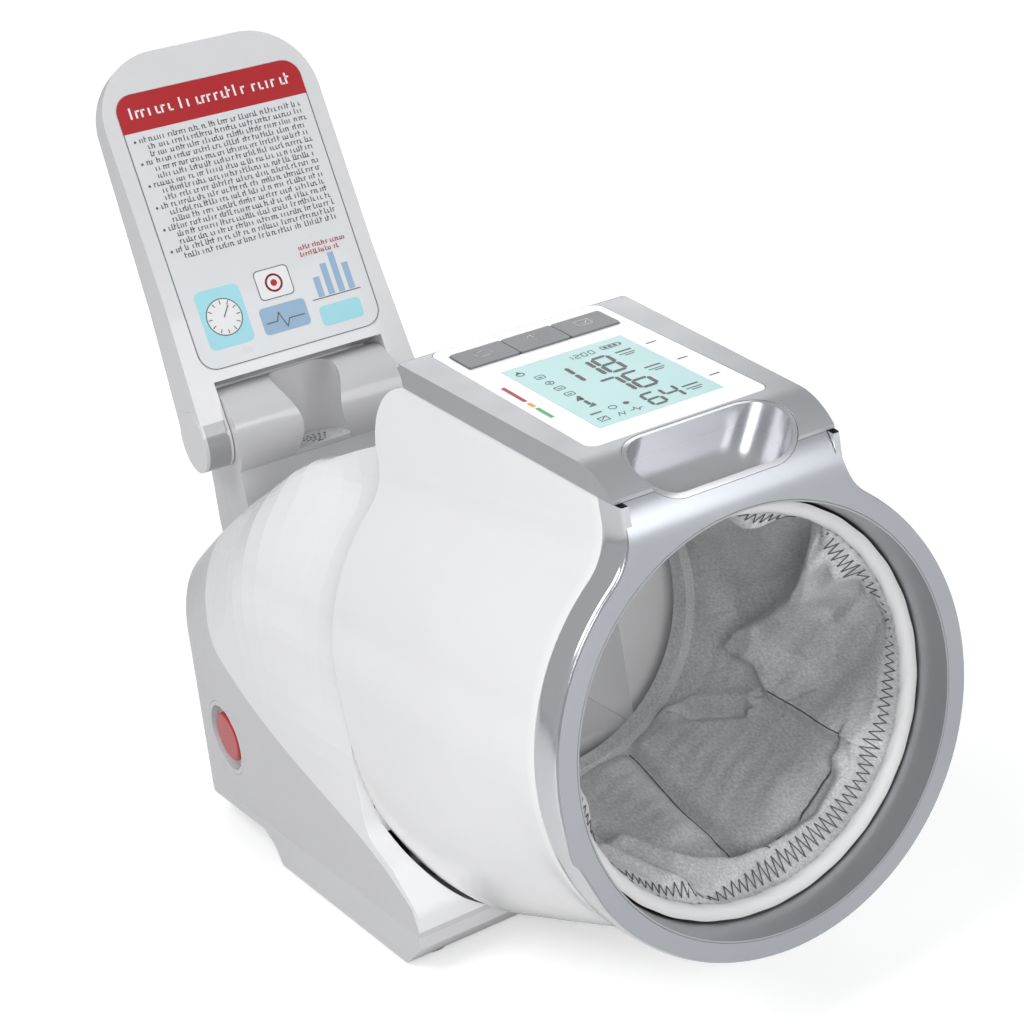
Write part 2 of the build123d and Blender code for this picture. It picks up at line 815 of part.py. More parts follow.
grille = rod_z(groove_radius - fit_gap, grille_height - grille_thick, grille_height, 0, groove_centre)
grille &= column_outer
for row in range(-2, 3):
    for place in range(-2, 3):
        hole_x = place * grille_pitch
        hole_y = groove_centre + 4 + row * grille_pitch
        if math.hypot(hole_x, hole_y - groove_centre) < groove_radius - 2 and hole_y > column_front + 2:
            grille -= rod_z(grille_hole, grille_height - grille_thick - 1, grille_height + 1, hole_x, hole_y)
save("speaker_grille", grille)
speaker_top = grille_height - grille_thick
speaker = rod_z(groove_radius - 0.2, speaker_top - speaker_height, speaker_top, 0, groove_centre)
speaker &= side_prism(offset(column_face, -column_wall - 0.2), column_half)
save("speaker", speaker)
hinge_pins = both_sides(rod_x(hinge_pin_radius, column_half - 12, lid_half_low - 1,
                              hinge_depth, hinge_height))
save("lid_hinge_pins", hinge_pins)

# Grey side and rear cover, in one with the back half of the column
side_cover = base_shell - side_prism(white_region, 120) - channel - channel_plates
side_cover &= block((-200, 200), (0, 400), (seam_height, 200))
slot_mouth = block((-channel_half, channel_half), (fender_start, fender_start + 8), (-84, -60))
side_cover -= slot_mouth
side_cover = side_cover - side_prism(column_face, column_half)
side_cover += column_rear_half - base_room
stop_hole = rod_x(stop_ring_radius + fit_gap, -base_half - 1, -base_half + 8, stop_depth, stop_height)
side_cover = side_cover - stop_hole - arm_slots
save("side_rear_cover", side_cover)

base_tray = (base_shell & block((-200, 200), (0, 400), (-200, seam_height))) - arm_slots
bay_half = cell_length + 3
bay_start = 198.0
bay_end = 257.0
base_tray -= block((-bay_half, bay_half), (bay_start + 2, bay_end - 2), (floor_z - 1, floor_z + 10))

# Lid: a front frame with the label, a hollow back with two arms, and end bands on the arms
lid_plane = Plane(
    origin=(0, hinge_depth, hinge_height),
    x_dir=(1, 0, 0),
    z_dir=(0, -math.cos(math.radians(lid_lean)), math.sin(math.radians(lid_lean))),
)


def in_lid(u, n):
    """Point of the Y-Z plane from the lid's own height u and depth n about the hinge."""
    lean = math.radians(lid_lean)
    return (hinge_depth + u * math.sin(lean) - n * math.cos(lean),
            hinge_height + u * math.cos(lean) + n * math.sin(lean))


def lid_face_outline(inset):
    low = lid_half_low - inset
    high = lid_half_top - inset
    return outline([
        (-low, -lid_face - 1),
        (low, -lid_face - 1),
        (high, 60),
        (high, lid_length - inset, lid_top_round - inset),
        (-high, lid_length - inset, lid_top_round - inset),
        (-high, 60),
    ])


def lid_side_outline(inset):
    return outline([
        in_lid(0, lid_face - inset),
        in_lid(lid_length + 5, lid_face - inset),
        in_lid(lid_length + 5, lid_top_back + inset),
        in_lid(70, lid_low_back + 7.5 + inset),
        in_lid(0, lid_low_back + inset),
    ])


lid_plan = extrude(lid_plane.offset(-60) * lid_face_outline(0), 120)
arm_round = rod_x(lid_face, -lid_half_low, lid_half_low, hinge_depth, hinge_height)
lid_block = (side_prism(lid_side_outline(0), 80) & lid_plan) + arm_round
trough = rod_x(roll_radius + trough_gap, -column_half - lid_side_gap, column_half + lid_side_gap,
               hinge_depth, hinge_height)
window = extrude(lid_plane.offset(-8) * Pos(0, window_top / 2 - 15)
                 * Rectangle(2 * (column_half + lid_side_gap), window_top + 30), 60)
lid_block = lid_block - trough - window
pin_hole = rod_x(hinge_pin_radius + hinge_clearance, column_half - 5, lid_half_low - 0.8,
                 hinge_depth, hinge_height)
lid_block -= both_sides(pin_hole)

front_layer = extrude(lid_plane.offset(lid_face - lid_front_thick)
                      * Pos(0, window_top + lid_length / 2) * Rectangle(200, lid_length), 40)
lid_front = lid_block & front_layer
label_middle = (label_start + label_end) / 2
label_recess = extrude(lid_plane.offset(lid_face - label_thick) * Pos(0, label_middle)
                       * RectangleRounded(2 * label_half, label_end - label_start, label_corner), 20)
lid_front -= label_recess
save("lid_front_frame", lid_front)

lid_back = lid_block - front_layer
lid_hollow = side_prism(lid_side_outline(lid_wall), 80)
lid_hollow &= extrude(lid_plane.offset(-60) * lid_face_outline(lid_wall), 120)
lid_hollow &= extrude(lid_plane.offset(-60) * Pos(0, window_top + lid_wall + lid_length / 2)
                      * Rectangle(200, lid_length), 120)
lid_back -= lid_hollow
band_room = rod_x(lid_face + 1, -lid_half_low, lid_half_low, hinge_depth, hinge_height)
band_room -= rod_x(lid_face - cap_band, -lid_half_low, lid_half_low, hinge_depth, hinge_height)
band_side = block((column_half + 1.5, lid_half_low - 1.5), (0, 400), (0, 200))
band_side &= across_prism(outline([
    in_lid(-20, -3),
    in_lid(-20, 20),
    in_lid(5, 20),
    in_lid(5, -3),
]), 0, 100)
band_room &= both_sides(band_side)
arm_end_bands = band_room & lid_block
lid_back -= band_room
save("lid_back_shell", lid_back)
save("arm_end_bands", arm_end_bands)

label_plate = extrude(lid_plane.offset(lid_face - label_thick) * Pos(0, label_middle)
                      * RectangleRounded(2 * (label_half - fit_gap), label_end - label_start - 2 * fit_gap,
                                         label_corner - fit_gap), label_thick)
save("label_plate", label_plate)

# Stop button in a ringed seat on the left side
ring_floor = 3.5
stop_ring = rod_x(stop_ring_radius, -base_half, -base_half + 12, stop_depth, stop_height)
stop_ring -= rod_x(stop_ring_radius - stop_ring_wall, -base_half - 1, -base_half + ring_floor,
                   stop_depth, stop_height)
stop_ring -= rod_x(stop_radius + stop_gap, -base_half - 1, -base_half + 13, stop_depth, stop_height)
stop_ring -= rod_x(stop_ring_radius - stop_ring_wall, -base_half + ring_floor + 1.5, -base_half + 13,
                   stop_depth, stop_height)
save("stop_button_ring", stop_ring)
flange_start = -base_half + ring_floor + 1.5 + stop_gap
stop_cap = rod_x(stop_radius, -base_half + 0.5, flange_start, stop_depth, stop_height)
stop_cap += rod_x(stop_radius + 1.5, flange_start, flange_start + 1, stop_depth, stop_height)
outer_rim = stop_cap.edges().filter_by(GeomType.CIRCLE).group_by(Axis.X)[0]
stop_cap = fillet(outer_rim, 1.5)
save("stop_button", stop_cap)
switch_face = flange_start + 1 + stop_travel + 0.1
stop_switch = rod_x(stop_ring_radius - stop_ring_wall, -base_half + 12, -base_half + 12 + board_thick,
                    stop_depth, stop_height)
stop_switch += block((switch_face, -base_half + 12), (stop_depth - 3, stop_depth + 3),
                     (stop_height - 3, stop_height + 3))
save("stop_switch", stop_switch)

# Works: battery bay and door, cells, pump, valve, main board, feet, screws, power socket
bay_wall = 1.5
bay_top = floor_top + 2 * cell_radius + 4
battery_bay = block((-bay_half - bay_wall, bay_half + bay_wall), (bay_start, bay_end), (floor_top, bay_top))
battery_bay -= block((-bay_half, bay_half), (bay_start + bay_wall, bay_end - bay_wall),
                     (floor_top - 1, bay_top - bay_wall))
save("battery_bay", battery_bay)
door = block((-bay_half + 0.2, bay_half - 0.2), (bay_start + 2.2, bay_end - 2.2),
             (floor_z, floor_z + door_thick))
for rib in range(-2, 3):
    door -= block((rib * 6 - 1, rib * 6 + 1), (bay_start + 8, bay_start + 16), (floor_z - 1, floor_z + 0.6))
save("battery_door", door)
cells = []
contacts = []
for row in (-1, 1):
    cell_y = (bay_start + bay_end) / 2 + row * (cell_radius + 0.4)
    cell_z = floor_z + door_thick + 0.2 + cell_radius
    for side in (-1, 1):
        cells.append(rod_x(cell_radius, side * (cell_length + 0.5) / 2 - cell_length / 2,
                           side * (cell_length + 0.5) / 2 + cell_length / 2, cell_y, cell_z))
        contacts.append(block((side * (bay_half - 0.5) - 0.4, side * (bay_half - 0.5) + 0.4),
                              (cell_y - 6, cell_y + 6), (cell_z - 6, cell_z + 6)))
save("battery_cells", Compound(cells))
save("battery_contacts", Compound(contacts))

pump_y = 180.0
pump_z = floor_top + 3 + pump_radius
air_pump = rod_x(pump_radius, -60, -22, pump_y, pump_z)
air_pump += rod_x(pump_radius - 1.5, -22, -60 + pump_length, pump_y, pump_z)
air_pump += rod_x(2, -60 + pump_length, -60 + pump_length + 5, pump_y, pump_z)
save("air_pump", air_pump)
cradle = block((-54, -46), (pump_y - 12, pump_y + 12), (floor_top, pump_z - 2))
cradle += block((-36, -28), (pump_y - 12, pump_y + 12), (floor_top, pump_z - 2))
pump_cradle = cradle - rod_x(pump_radius, -70, 0, pump_y, pump_z)
save("pump_cradle", pump_cradle)
air_valve = block((14, 34), (pump_y - 8, pump_y + 8), (floor_top, pump_z + 6))
air_valve += rod_x(2, 9, 14, pump_y, pump_z)
save("air_valve", air_valve)
air_hose = rod_x(3.5, -1, 12, pump_y, pump_z) - rod_x(2, -2, 13, pump_y, pump_z)
save("air_hose", air_hose)

board_z = rear_floor + base_wall + 12
main_board = block((-60, 60), (268, 326), (board_z, board_z + board_thick))
for x in (-54, 54):
    for y in (274, 320):
        main_board -= rod_z(1.6, board_z - 1, board_z + 5, x, y)
main_board += block((-20, 12), (280, 304), (board_z + board_thick, board_z + board_thick + 2.5))
save("main_board", main_board)
pressure_sensor = block((26, 38), (284, 296), (board_z + board_thick, board_z + board_thick + 6))
pressure_sensor += rod_z(1.8, board_z + board_thick + 6, board_z + board_thick + 12, 32, 290)
save("pressure_sensor", pressure_sensor)
bosses = []
board_screws = []
for x in (-54, 54):
    for y in (274, 320):
        boss = rod_z(4, rear_floor + base_wall - 0.5, board_z, x, y)
        bosses.append(boss - rod_z(1.4, board_z - 8, board_z + 1, x, y))
        board_screws.append(rod_z(1.4, board_z - 6, board_z + board_thick, x, y)
                            + rod_z(2.8, board_z + board_thick, board_z + board_thick + 1.6, x, y))
for boss in bosses:
    base_tray += boss
save("board_screws", Compound(board_screws))

feet = []
for x in (-66, 66):
    for y in (154, 249):
        base_tray -= rod_z(foot_radius + fit_gap, floor_z - 1, floor_z + 1, x, y)
        feet.append(rod_z(foot_radius, -axis_height, floor_z + 1, x, y))
save("rubber_feet", Compound(feet))
save("base_tray", base_tray)


# The origin goes to the table under the middle of the whole length
whole = Compound(list(pieces.values())).bounding_box()
origin_depth = (whole.min.Y + whole.max.Y) / 2
print(f"origin lies {origin_depth:.4f} behind the barrel's front face")
for name, shape in pieces.items():
    export_step(Pos(0, -origin_depth, axis_height) * shape, f"parts/{name}.step")
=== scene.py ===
import math
import random

import bmesh
import bpy
import numpy as np
from mathutils import Matrix, Vector


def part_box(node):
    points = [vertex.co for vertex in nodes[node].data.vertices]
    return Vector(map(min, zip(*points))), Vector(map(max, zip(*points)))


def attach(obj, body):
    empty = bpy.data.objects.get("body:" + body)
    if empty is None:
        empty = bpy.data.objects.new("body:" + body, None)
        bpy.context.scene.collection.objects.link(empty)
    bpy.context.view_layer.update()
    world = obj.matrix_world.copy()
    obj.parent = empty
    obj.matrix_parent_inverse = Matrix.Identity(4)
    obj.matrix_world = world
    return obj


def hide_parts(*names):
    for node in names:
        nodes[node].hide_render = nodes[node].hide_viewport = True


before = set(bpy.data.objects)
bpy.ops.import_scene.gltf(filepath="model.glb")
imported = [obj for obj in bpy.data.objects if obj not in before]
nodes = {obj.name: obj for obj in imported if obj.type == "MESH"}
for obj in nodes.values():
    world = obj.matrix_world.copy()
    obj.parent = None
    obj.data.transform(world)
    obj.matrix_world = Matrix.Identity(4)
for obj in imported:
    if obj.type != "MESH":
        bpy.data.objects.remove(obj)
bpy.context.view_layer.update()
front_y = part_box("front_plate")[0][1]
AXIS_HEIGHT = 0.113
MM = 0.001


def at(x, y, z):
    """A point of the arm's own axes, in millimetres, as a point of the frame in metres."""
    return Vector((x * MM, front_y + y * MM, AXIS_HEIGHT + z * MM))


def mix(first, last, share):
    return first + (last - first) * share


def round_axis(radius, turn, y):
    """A place round the arm's axis: its radius, its angle from +X towards +Z, its depth."""
    return (radius * math.cos(turn), y, radius * math.sin(turn))


# Materials

def new_material(name):
    made = bpy.data.materials.new(name)
    made.use_nodes = True
    tree = made.node_tree
    shader = tree.nodes["Principled BSDF"]
    return made, tree, shader


def bump(tree, height, strength, distance):
    made = tree.nodes.new("ShaderNodeBump")
    made.inputs["Strength"].default_value = strength
    made.inputs["Distance"].default_value = distance
    tree.links.new(height, made.inputs["Height"])
    return made


def noise(tree, scale, detail=3.0, rough=0.5, stretch=(1, 1, 1)):
    place = tree.nodes.new("ShaderNodeTexCoord")
    mapping = tree.nodes.new("ShaderNodeMapping")
    mapping.inputs["Scale"].default_value = stretch
    tree.links.new(place.outputs["Object"], mapping.inputs["Vector"])
    made = tree.nodes.new("ShaderNodeTexNoise")
    made.inputs["Scale"].default_value = scale
    made.inputs["Detail"].default_value = detail
    made.inputs["Roughness"].default_value = rough
    tree.links.new(mapping.outputs["Vector"], made.inputs["Vector"])
    return made.outputs["Fac"]


def ramp(tree, source, low, high, start=0.3, end=0.7):
    made = tree.nodes.new("ShaderNodeMapRange")
    made.inputs["From Min"].default_value = start
    made.inputs["From Max"].default_value = end
    made.inputs["To Min"].default_value = low
    made.inputs["To Max"].default_value = high
    tree.links.new(source, made.inputs["Value"])
    return made.outputs["Result"]


def shade(tree, source, dark, light):
    made = tree.nodes.new("ShaderNodeMix")
    made.data_type = "RGBA"
    made.inputs["A"].default_value = (*dark, 1)
    made.inputs["B"].default_value = (*light, 1)
    tree.links.new(source, made.inputs["Factor"])
    return made.outputs["Result"]


def plastic(name, colour, rough, vary=0.015, grain=900.0, depth=0.02, coat=0.0, metallic=0.0,
            rough_vary=0.03):
    """Moulded plastic or paint: faint cloudy colour, a fine grain and uneven gloss."""
    made, tree, shader = new_material(name)
    dark = [max(0.0, c - vary) for c in colour]
    light = [min(1.0, c + vary) for c in colour]
    cloudy = shade(tree, ramp(tree, noise(tree, 14.0), 0, 1), dark, light)
    tree.links.new(cloudy, shader.inputs["Base Color"])
    gloss = ramp(tree, noise(tree, 60.0, 4.0), rough - rough_vary, rough + rough_vary)
    tree.links.new(gloss, shader.inputs["Roughness"])
    grainy = bump(tree, noise(tree, grain, 2.0), depth, 0.0002)
    tree.links.new(grainy.outputs["Normal"], shader.inputs["Normal"])
    shader.inputs["Metallic"].default_value = metallic
    shader.inputs["Coat Weight"].default_value = coat
    return made


def flat_ink(name, colour, rough=0.4):
    return plastic(name, colour, rough, vary=0.006, grain=3000.0, depth=0.01)


def cloth_look():
    """Grey woven cloth: fine crossed threads, fuzz, and a cloudy tone that varies at random."""
    made, tree, shader = new_material("sleeve_cloth")
    tone = ramp(tree, noise(tree, 26.0, 5.0, 0.6), 0, 1, 0.25, 0.75)
    cloudy = shade(tree, tone, (0.46, 0.465, 0.47), (0.66, 0.665, 0.67))
    threads = tree.nodes.new("ShaderNodeMix")
    threads.data_type = "RGBA"
    threads.blend_type = "MULTIPLY"
    threads.inputs["Factor"].default_value = 0.55
    tree.links.new(cloudy, threads.inputs["A"])
    weave = ramp(tree, noise(tree, 1500.0, 2.0, 0.5, (1, 0.35, 1)), 0.55, 1.25, 0.3, 0.7)
    tree.links.new(weave, threads.inputs["B"])
    tree.links.new(threads.outputs["Result"], shader.inputs["Base Color"])
    tree.links.new(ramp(tree, noise(tree, 90.0), 0.72, 0.9), shader.inputs["Roughness"])
    fine = bump(tree, noise(tree, 1100.0, 3.0, 0.6, (1, 0.4, 1)), 0.5, 0.00025)
    crinkle = bump(tree, noise(tree, 120.0, 4.0, 0.55, (1, 0.6, 1)), 0.35, 0.0012)
    tree.links.new(fine.outputs["Normal"], crinkle.inputs["Normal"])
    tree.links.new(crinkle.outputs["Normal"], shader.inputs["Normal"])
    shader.inputs["Sheen Weight"].default_value = 0.25
    shader.inputs["Sheen Roughness"].default_value = 0.5
    shader.inputs["Specular IOR Level"].default_value = 0.25
    return made


looks = {
    "shell_white": plastic("shell_white", (0.87, 0.87, 0.875), 0.16, coat=0.5, depth=0.006),
    "cover_grey": plastic("cover_grey", (0.60, 0.60, 0.61), 0.22, coat=0.3, depth=0.01),
    "tray_grey": plastic("tray_grey", (0.66, 0.66, 0.67), 0.42, depth=0.08),
    "rest_grey": plastic("rest_grey", (0.68, 0.68, 0.69), 0.20, coat=0.3, depth=0.01),
    "column_grey": plastic("column_grey", (0.64, 0.64, 0.65), 0.22, coat=0.3, depth=0.01),
    "grille_pale": plastic("grille_pale", (0.72, 0.72, 0.72), 0.5, depth=0.06),
    # Dark inner parts; the same look also paints the shade of the speaker's holes
    "dark_works_and_hole_shade": plastic("dark_works_and_hole_shade", (0.03, 0.03, 0.033), 0.5, depth=0.1),
    "steel": plastic("steel", (0.55, 0.55, 0.56), 0.28, metallic=1.0, grain=2500.0, depth=0.04),
    "rubber_dark": plastic("rubber_dark", (0.035, 0.035, 0.037), 0.7, depth=0.2),
    "ring_pale": plastic("ring_pale", (0.62, 0.62, 0.63), 0.2, coat=0.4, depth=0.01),
    "stop_red": plastic("stop_red", (0.50, 0.008, 0.012), 0.22, coat=0.3, vary=0.008, depth=0.008),
    "board_green": plastic("board_green", (0.02, 0.13, 0.06), 0.35, coat=0.3, depth=0.05),
    "cell_sleeve": plastic("cell_sleeve", (0.25, 0.26, 0.28), 0.35, metallic=0.6, depth=0.02),
    "pump_metal": plastic("pump_metal", (0.5, 0.5, 0.52), 0.34, metallic=1.0, depth=0.05),
    "hose_clear": plastic("hose_clear", (0.55, 0.55, 0.5), 0.35, depth=0.04),
    "plate_satin": plastic("plate_satin", (0.44, 0.46, 0.49), 0.30, metallic=0.75, grain=4200.0, depth=0.05,
                           vary=0.02, rough_vary=0.02),
    "band_bright": plastic("band_bright", (0.72, 0.73, 0.75), 0.13, metallic=0.92, depth=0.006,
                           rough_vary=0.02),
    "cap_silver": plastic("cap_silver", (0.46, 0.47, 0.49), 0.36, metallic=0.6, grain=4200.0, depth=0.05),
    "cup_silver": plastic("cup_silver", (0.55, 0.56, 0.58), 0.22, metallic=0.7, depth=0.01),
    "panel_white": plastic("panel_white", (0.80, 0.80, 0.815), 0.14, coat=0.6, depth=0.003),
    "key_grey": plastic("key_grey", (0.20, 0.205, 0.215), 0.38, depth=0.05),
    "collar_satin": plastic("collar_satin", (0.42, 0.43, 0.45), 0.32, metallic=0.6, grain=4200.0, depth=0.05),
    "drum_grey": plastic("drum_grey", (0.35, 0.35, 0.36), 0.5, depth=0.06),
    "lid_grey": plastic("lid_grey", (0.70, 0.70, 0.71), 0.20, coat=0.4, depth=0.01),
    "band_grey": plastic("band_grey", (0.36, 0.36, 0.38), 0.14, coat=0.5, depth=0.006),
    "label_field": plastic("label_field", (0.70, 0.715, 0.73), 0.3, coat=0.2, depth=0.01),
    "ink_red": flat_ink("ink_red", (0.42, 0.008, 0.014)),
    "ink_dark": flat_ink("ink_dark", (0.10, 0.10, 0.11)),
    "ink_white": flat_ink("ink_white", (0.82, 0.82, 0.83)),
    "ink_pale": flat_ink("ink_pale", (0.55, 0.55, 0.56)),
    "ink_blue": flat_ink("ink_blue", (0.30, 0.45, 0.62)),
    "ink_cyan": flat_ink("ink_cyan", (0.36, 0.72, 0.80)),
    "ink_amber": flat_ink("ink_amber", (0.85, 0.35, 0.03)),
    "ink_green": flat_ink("ink_green", (0.05, 0.45, 0.14)),
    "lcd_face": plastic("lcd_face", (0.50, 0.76, 0.75), 0.32, vary=0.01, depth=0.004),
    "lcd_black": flat_ink("lcd_black", (0.012, 0.014, 0.016), 0.3),
    "thread_pale": plastic("thread_pale", (0.62, 0.62, 0.62), 0.8, depth=0.3),
    "rim_pale": plastic("rim_pale", (0.70, 0.70, 0.70), 0.6, vary=0.03, grain=700.0, depth=0.35),
    "thread_dark": plastic("thread_dark", (0.10, 0.10, 0.105), 0.8, depth=0.3),
    "sleeve_cloth": cloth_look(),
}


def paint(obj, look):
    obj.data.materials.clear()
    obj.data.materials.append(looks[look])


def smooth_by_angle(obj, degrees):
    """Smooth shading, with a sharp edge wherever two faces meet at a larger angle."""
    mesh = obj.data
    mesh.polygons.foreach_set("use_smooth", [True] * len(mesh.polygons))
    work = bmesh.new()
    work.from_mesh(mesh)
    limit = math.radians(degrees)
    for edge in work.edges:
        edge.smooth = not (len(edge.link_faces) == 2 and edge.calc_face_angle(0) > limit)
    work.to_mesh(mesh)
    work.free()


def make_mesh(name, points, faces, body, look, angle):
    """A new piece of the scene from points in the arm's axes, in millimetres."""
    mesh = bpy.data.meshes.new(name)
    mesh.from_pydata([at(*p) for p in points], [], faces)
    mesh.validate()
    obj = bpy.data.objects.new(name, mesh)
    bpy.context.collection.objects.link(obj)
    work = bmesh.new()
    work.from_mesh(mesh)
    bmesh.ops.recalc_face_normals(work, faces=work.faces)
    work.to_mesh(mesh)
    work.free()
    smooth_by_angle(obj, angle)
    paint(obj, look)
    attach(obj, body)
    return obj


def grid_faces(rows, count, closed=False, wrap_rows=False):
    """Quads over rows of count points; closed joins each row's ends, wrap_rows the last row to the first."""
    faces = []
    for row in range(rows if wrap_rows else rows - 1):
        lower = row * count
        upper = ((row + 1) % rows) * count
        for place in range(count if closed else count - 1):
            after = (place + 1) % count
            faces.append((lower + place, lower + after, upper + after, upper + place))
    return faces


def surface(name, rows, body, look, angle, closed=False, wrap_rows=False):
    """A piece through rows of points, all rows of the same length."""
    points = [p for row in rows for p in row]
    faces = grid_faces(len(rows), len(rows[0]), closed, wrap_rows)
    return make_mesh(name, points, faces, body, look, angle)


# Looks of the CAD nodes, also of those that a piece of the scene replaces

node_looks = {
    "barrel_shell": "shell_white",
    "trim_band": "band_bright",
    "front_plate": "plate_satin",
    "display_cap": "cap_silver",
    "grip_cup": "cup_silver",
    "display_panel": "panel_white",
    "lcd_window": "lcd_face",
    "lcd_module": "lcd_face",
    "display_board": "board_green",
    "key_switches": "dark_works_and_hole_shade",
    "memory_key": "key_grey",
    "power_key": "key_grey",
    "user_key": "key_grey",
    "opening_collar": "collar_satin",
    "inner_drum": "drum_grey",
    "cuff_rim_ring": "thread_pale",
    "air_bladder": "rubber_dark",
    "cuff_sleeve": "thread_pale",
    "cuff_rear_ring": "sleeve_cloth",
    "pivot_pins": "steel",
    "pivot_arms": "steel",
    "upper_shell_left": "shell_white",
    "upper_shell_right": "shell_white",
    "side_rear_cover": "cover_grey",
    "base_tray": "tray_grey",
    "elbow_rest": "rest_grey",
    "column_front": "column_grey",
    "speaker_grille": "grille_pale",
    "speaker": "dark_works_and_hole_shade",
    "lid_hinge_pins": "steel",
    "stop_button_ring": "ring_pale",
    "stop_switch": "dark_works_and_hole_shade",
    "stop_button": "stop_red",
    "battery_bay": "dark_works_and_hole_shade",
    "battery_door": "tray_grey",
    "battery_cells": "cell_sleeve",
    "battery_contacts": "steel",
    "air_pump": "pump_metal",
    "pump_cradle": "rubber_dark",
    "air_valve": "pump_metal",
    "air_hose": "hose_clear",
    "main_board": "board_green",
    "pressure_sensor": "dark_works_and_hole_shade",
    "board_screws": "steel",
    "rubber_feet": "rubber_dark",
    "lid_front_frame": "lid_grey",
    "lid_back_shell": "lid_grey",
    "arm_end_bands": "band_grey",
    "label_plate": "label_field",
}
for node, look in node_looks.items():
    paint(nodes[node], look)


# Barrel's outer form, as in the solids, drawn as smooth surfaces

TOP_SLOPE = math.radians(9.63)
TOP_FRONT = 94.3
BARREL_RADIUS, BARREL_LENGTH, TOWER_FILLET = 80.0, 158.0, 22.0
TOWER_FRONT, TOWER_REAR = 41.3, 47.0
TILT_DEPTH, NECK_RADIUS, CHIN_SLOPE = 130.0, 103.0, math.radians(15)
SKIRT, REAR_ROUND, CAP_REAR = 8.5, 33.0, 131.0
SIDE_SQUARING, FLOOR_SQUARING = 0.4, 1.4
UPPER_POINTS, MIDDLE_POINTS, LOWER_POINTS = 22, 20, 42
FLANK_STEPS, FILLET_STEPS, FLOOR_STEPS = 12, 40, 200
NEAR = 1e-6


def top_line(y):
    return TOP_FRONT + math.tan(TOP_SLOPE) * y


def skirt_line(y):
    return top_line(y) - SKIRT


def chin_depth(y):
    """How far the barrel reaches below its axis: a round, a slope, and the round of the tilt."""
    touch = TILT_DEPTH - NECK_RADIUS * math.sin(CHIN_SLOPE)
    if y > touch:
        return math.sqrt(NECK_RADIUS ** 2 - (y - TILT_DEPTH) ** 2)
    return max(BARREL_RADIUS, NECK_RADIUS * math.cos(CHIN_SLOPE) + (y - touch) * math.tan(CHIN_SLOPE))


def tower_half(y):
    """Half the width of the tower on top of the barrel."""
    return mix(TOWER_FRONT, TOWER_REAR, y / BARREL_LENGTH)


def spaced(spots, count):
    """The same line of points with count points evenly along it."""
    lengths = [0.0]
    for first, last in zip(spots, spots[1:]):
        lengths.append(lengths[-1] + math.dist(first, last))
    made, place = [], 0
    for step in range(count):
        goal = lengths[-1] * step / (count - 1)
        while place < len(spots) - 2 and lengths[place + 1] < goal:
            place += 1
        run = lengths[place + 1] - lengths[place]
        share = (goal - lengths[place]) / run if run else 0.0
        made.append(tuple(mix(a, b, share) for a, b in zip(spots[place], spots[place + 1])))
    return made


def barrel_side(y, inset, top):
    """Right half of the barrel's section from height top down to the bottom, as (x, z)."""
    radius, fillet = BARREL_RADIUS - inset, TOWER_FILLET + inset
    half = tower_half(y) - inset
    across = half + fillet
    rise = math.sqrt((radius + fillet) ** 2 - across ** 2)
    join = math.atan2(rise, across)
    upper = []
    if top > rise:
        upper += [(half, mix(top, rise, step / FLANK_STEPS)) for step in range(FLANK_STEPS)]
    fillet_spots = []
    for step in range(FILLET_STEPS + 1):
        turn = math.pi + join * step / FILLET_STEPS
        spot = (across + fillet * math.cos(turn), rise + fillet * math.sin(turn))
        if spot[1] <= top + NEAR:
            fillet_spots.append(spot)
    upper = spaced(upper + fillet_spots, UPPER_POINTS)
    turns = [join * (1 - k / MIDDLE_POINTS) for k in range(1, MIDDLE_POINTS + 1)]
    middle = [(radius * math.cos(turn), radius * math.sin(turn)) for turn in turns]
    swell = (chin_depth(y) - BARREL_RADIUS) / (NECK_RADIUS - BARREL_RADIUS)
    depth = chin_depth(y) - inset
    side_power, floor_power = 2 + SIDE_SQUARING * swell, 2 + FLOOR_SQUARING * swell
    fine = []
    for step in range(FLOOR_STEPS + 1):
        angle = math.pi / 2 * (step / FLOOR_STEPS) ** 1.5
        fine.append((radius * max(0.0, math.cos(angle)) ** (2 / side_power),
                     -depth * math.sin(angle) ** (2 / floor_power)))
    lower = spaced(fine, LOWER_POINTS)[1:]
    return upper + middle + lower


def barrel_path(y, inset, top):
    """The whole section, open at the top, from the right side round to the left."""
    side = barrel_side(y, inset, top)
    return side + [(-x, z) for x, z in reversed(side[:-1])]


def rear_top(y):
    """Height of the shell's roof: the skirt line, rounded off at the back."""
    reach = REAR_ROUND / math.tan((math.pi / 2 - TOP_SLOPE) / 2)
    centre_y = BARREL_LENGTH - REAR_ROUND
    centre_z = skirt_line(BARREL_LENGTH) - reach
    if y <= centre_y - REAR_ROUND * math.sin(TOP_SLOPE):
        return skirt_line(y)
    return centre_z + math.sqrt(max(0.0, REAR_ROUND ** 2 - (y - centre_y) ** 2))


def edge_rows(start, end, inside, soft):
    """Depths with two extra rows at each end for a softly rounded edge, and their insets."""
    rows = [(start, soft), (start + soft * 0.3, soft * 0.3), (start + soft, 0.0)]
    rows += [(y, 0.0) for y in inside if start + soft * 1.5 < y < end - soft * 1.5]
    rows += [(end - soft, 0.0), (end - soft * 0.3, soft * 0.3), (end, soft)]
    return rows


# White barrel shell with its open back

WALL = 2.5
SHELL_FRONT, SHELL_EDGE, ROOF_GAP = 14.0, 0.5, 0.2
ROW_PITCH, REAR_ROWS, REAR_REACH = 5, 119.5, 38.4
ROOF_STEPS, ROOF_TAPER = 24, 0.985
# Below this height the roof would meet the base's walls when the barrel tilts
REAR_MOUTH_TOP = 88.0
RING_DEPTH, RING_HOLE, RING_STEPS = 141.0, 71.15, 96


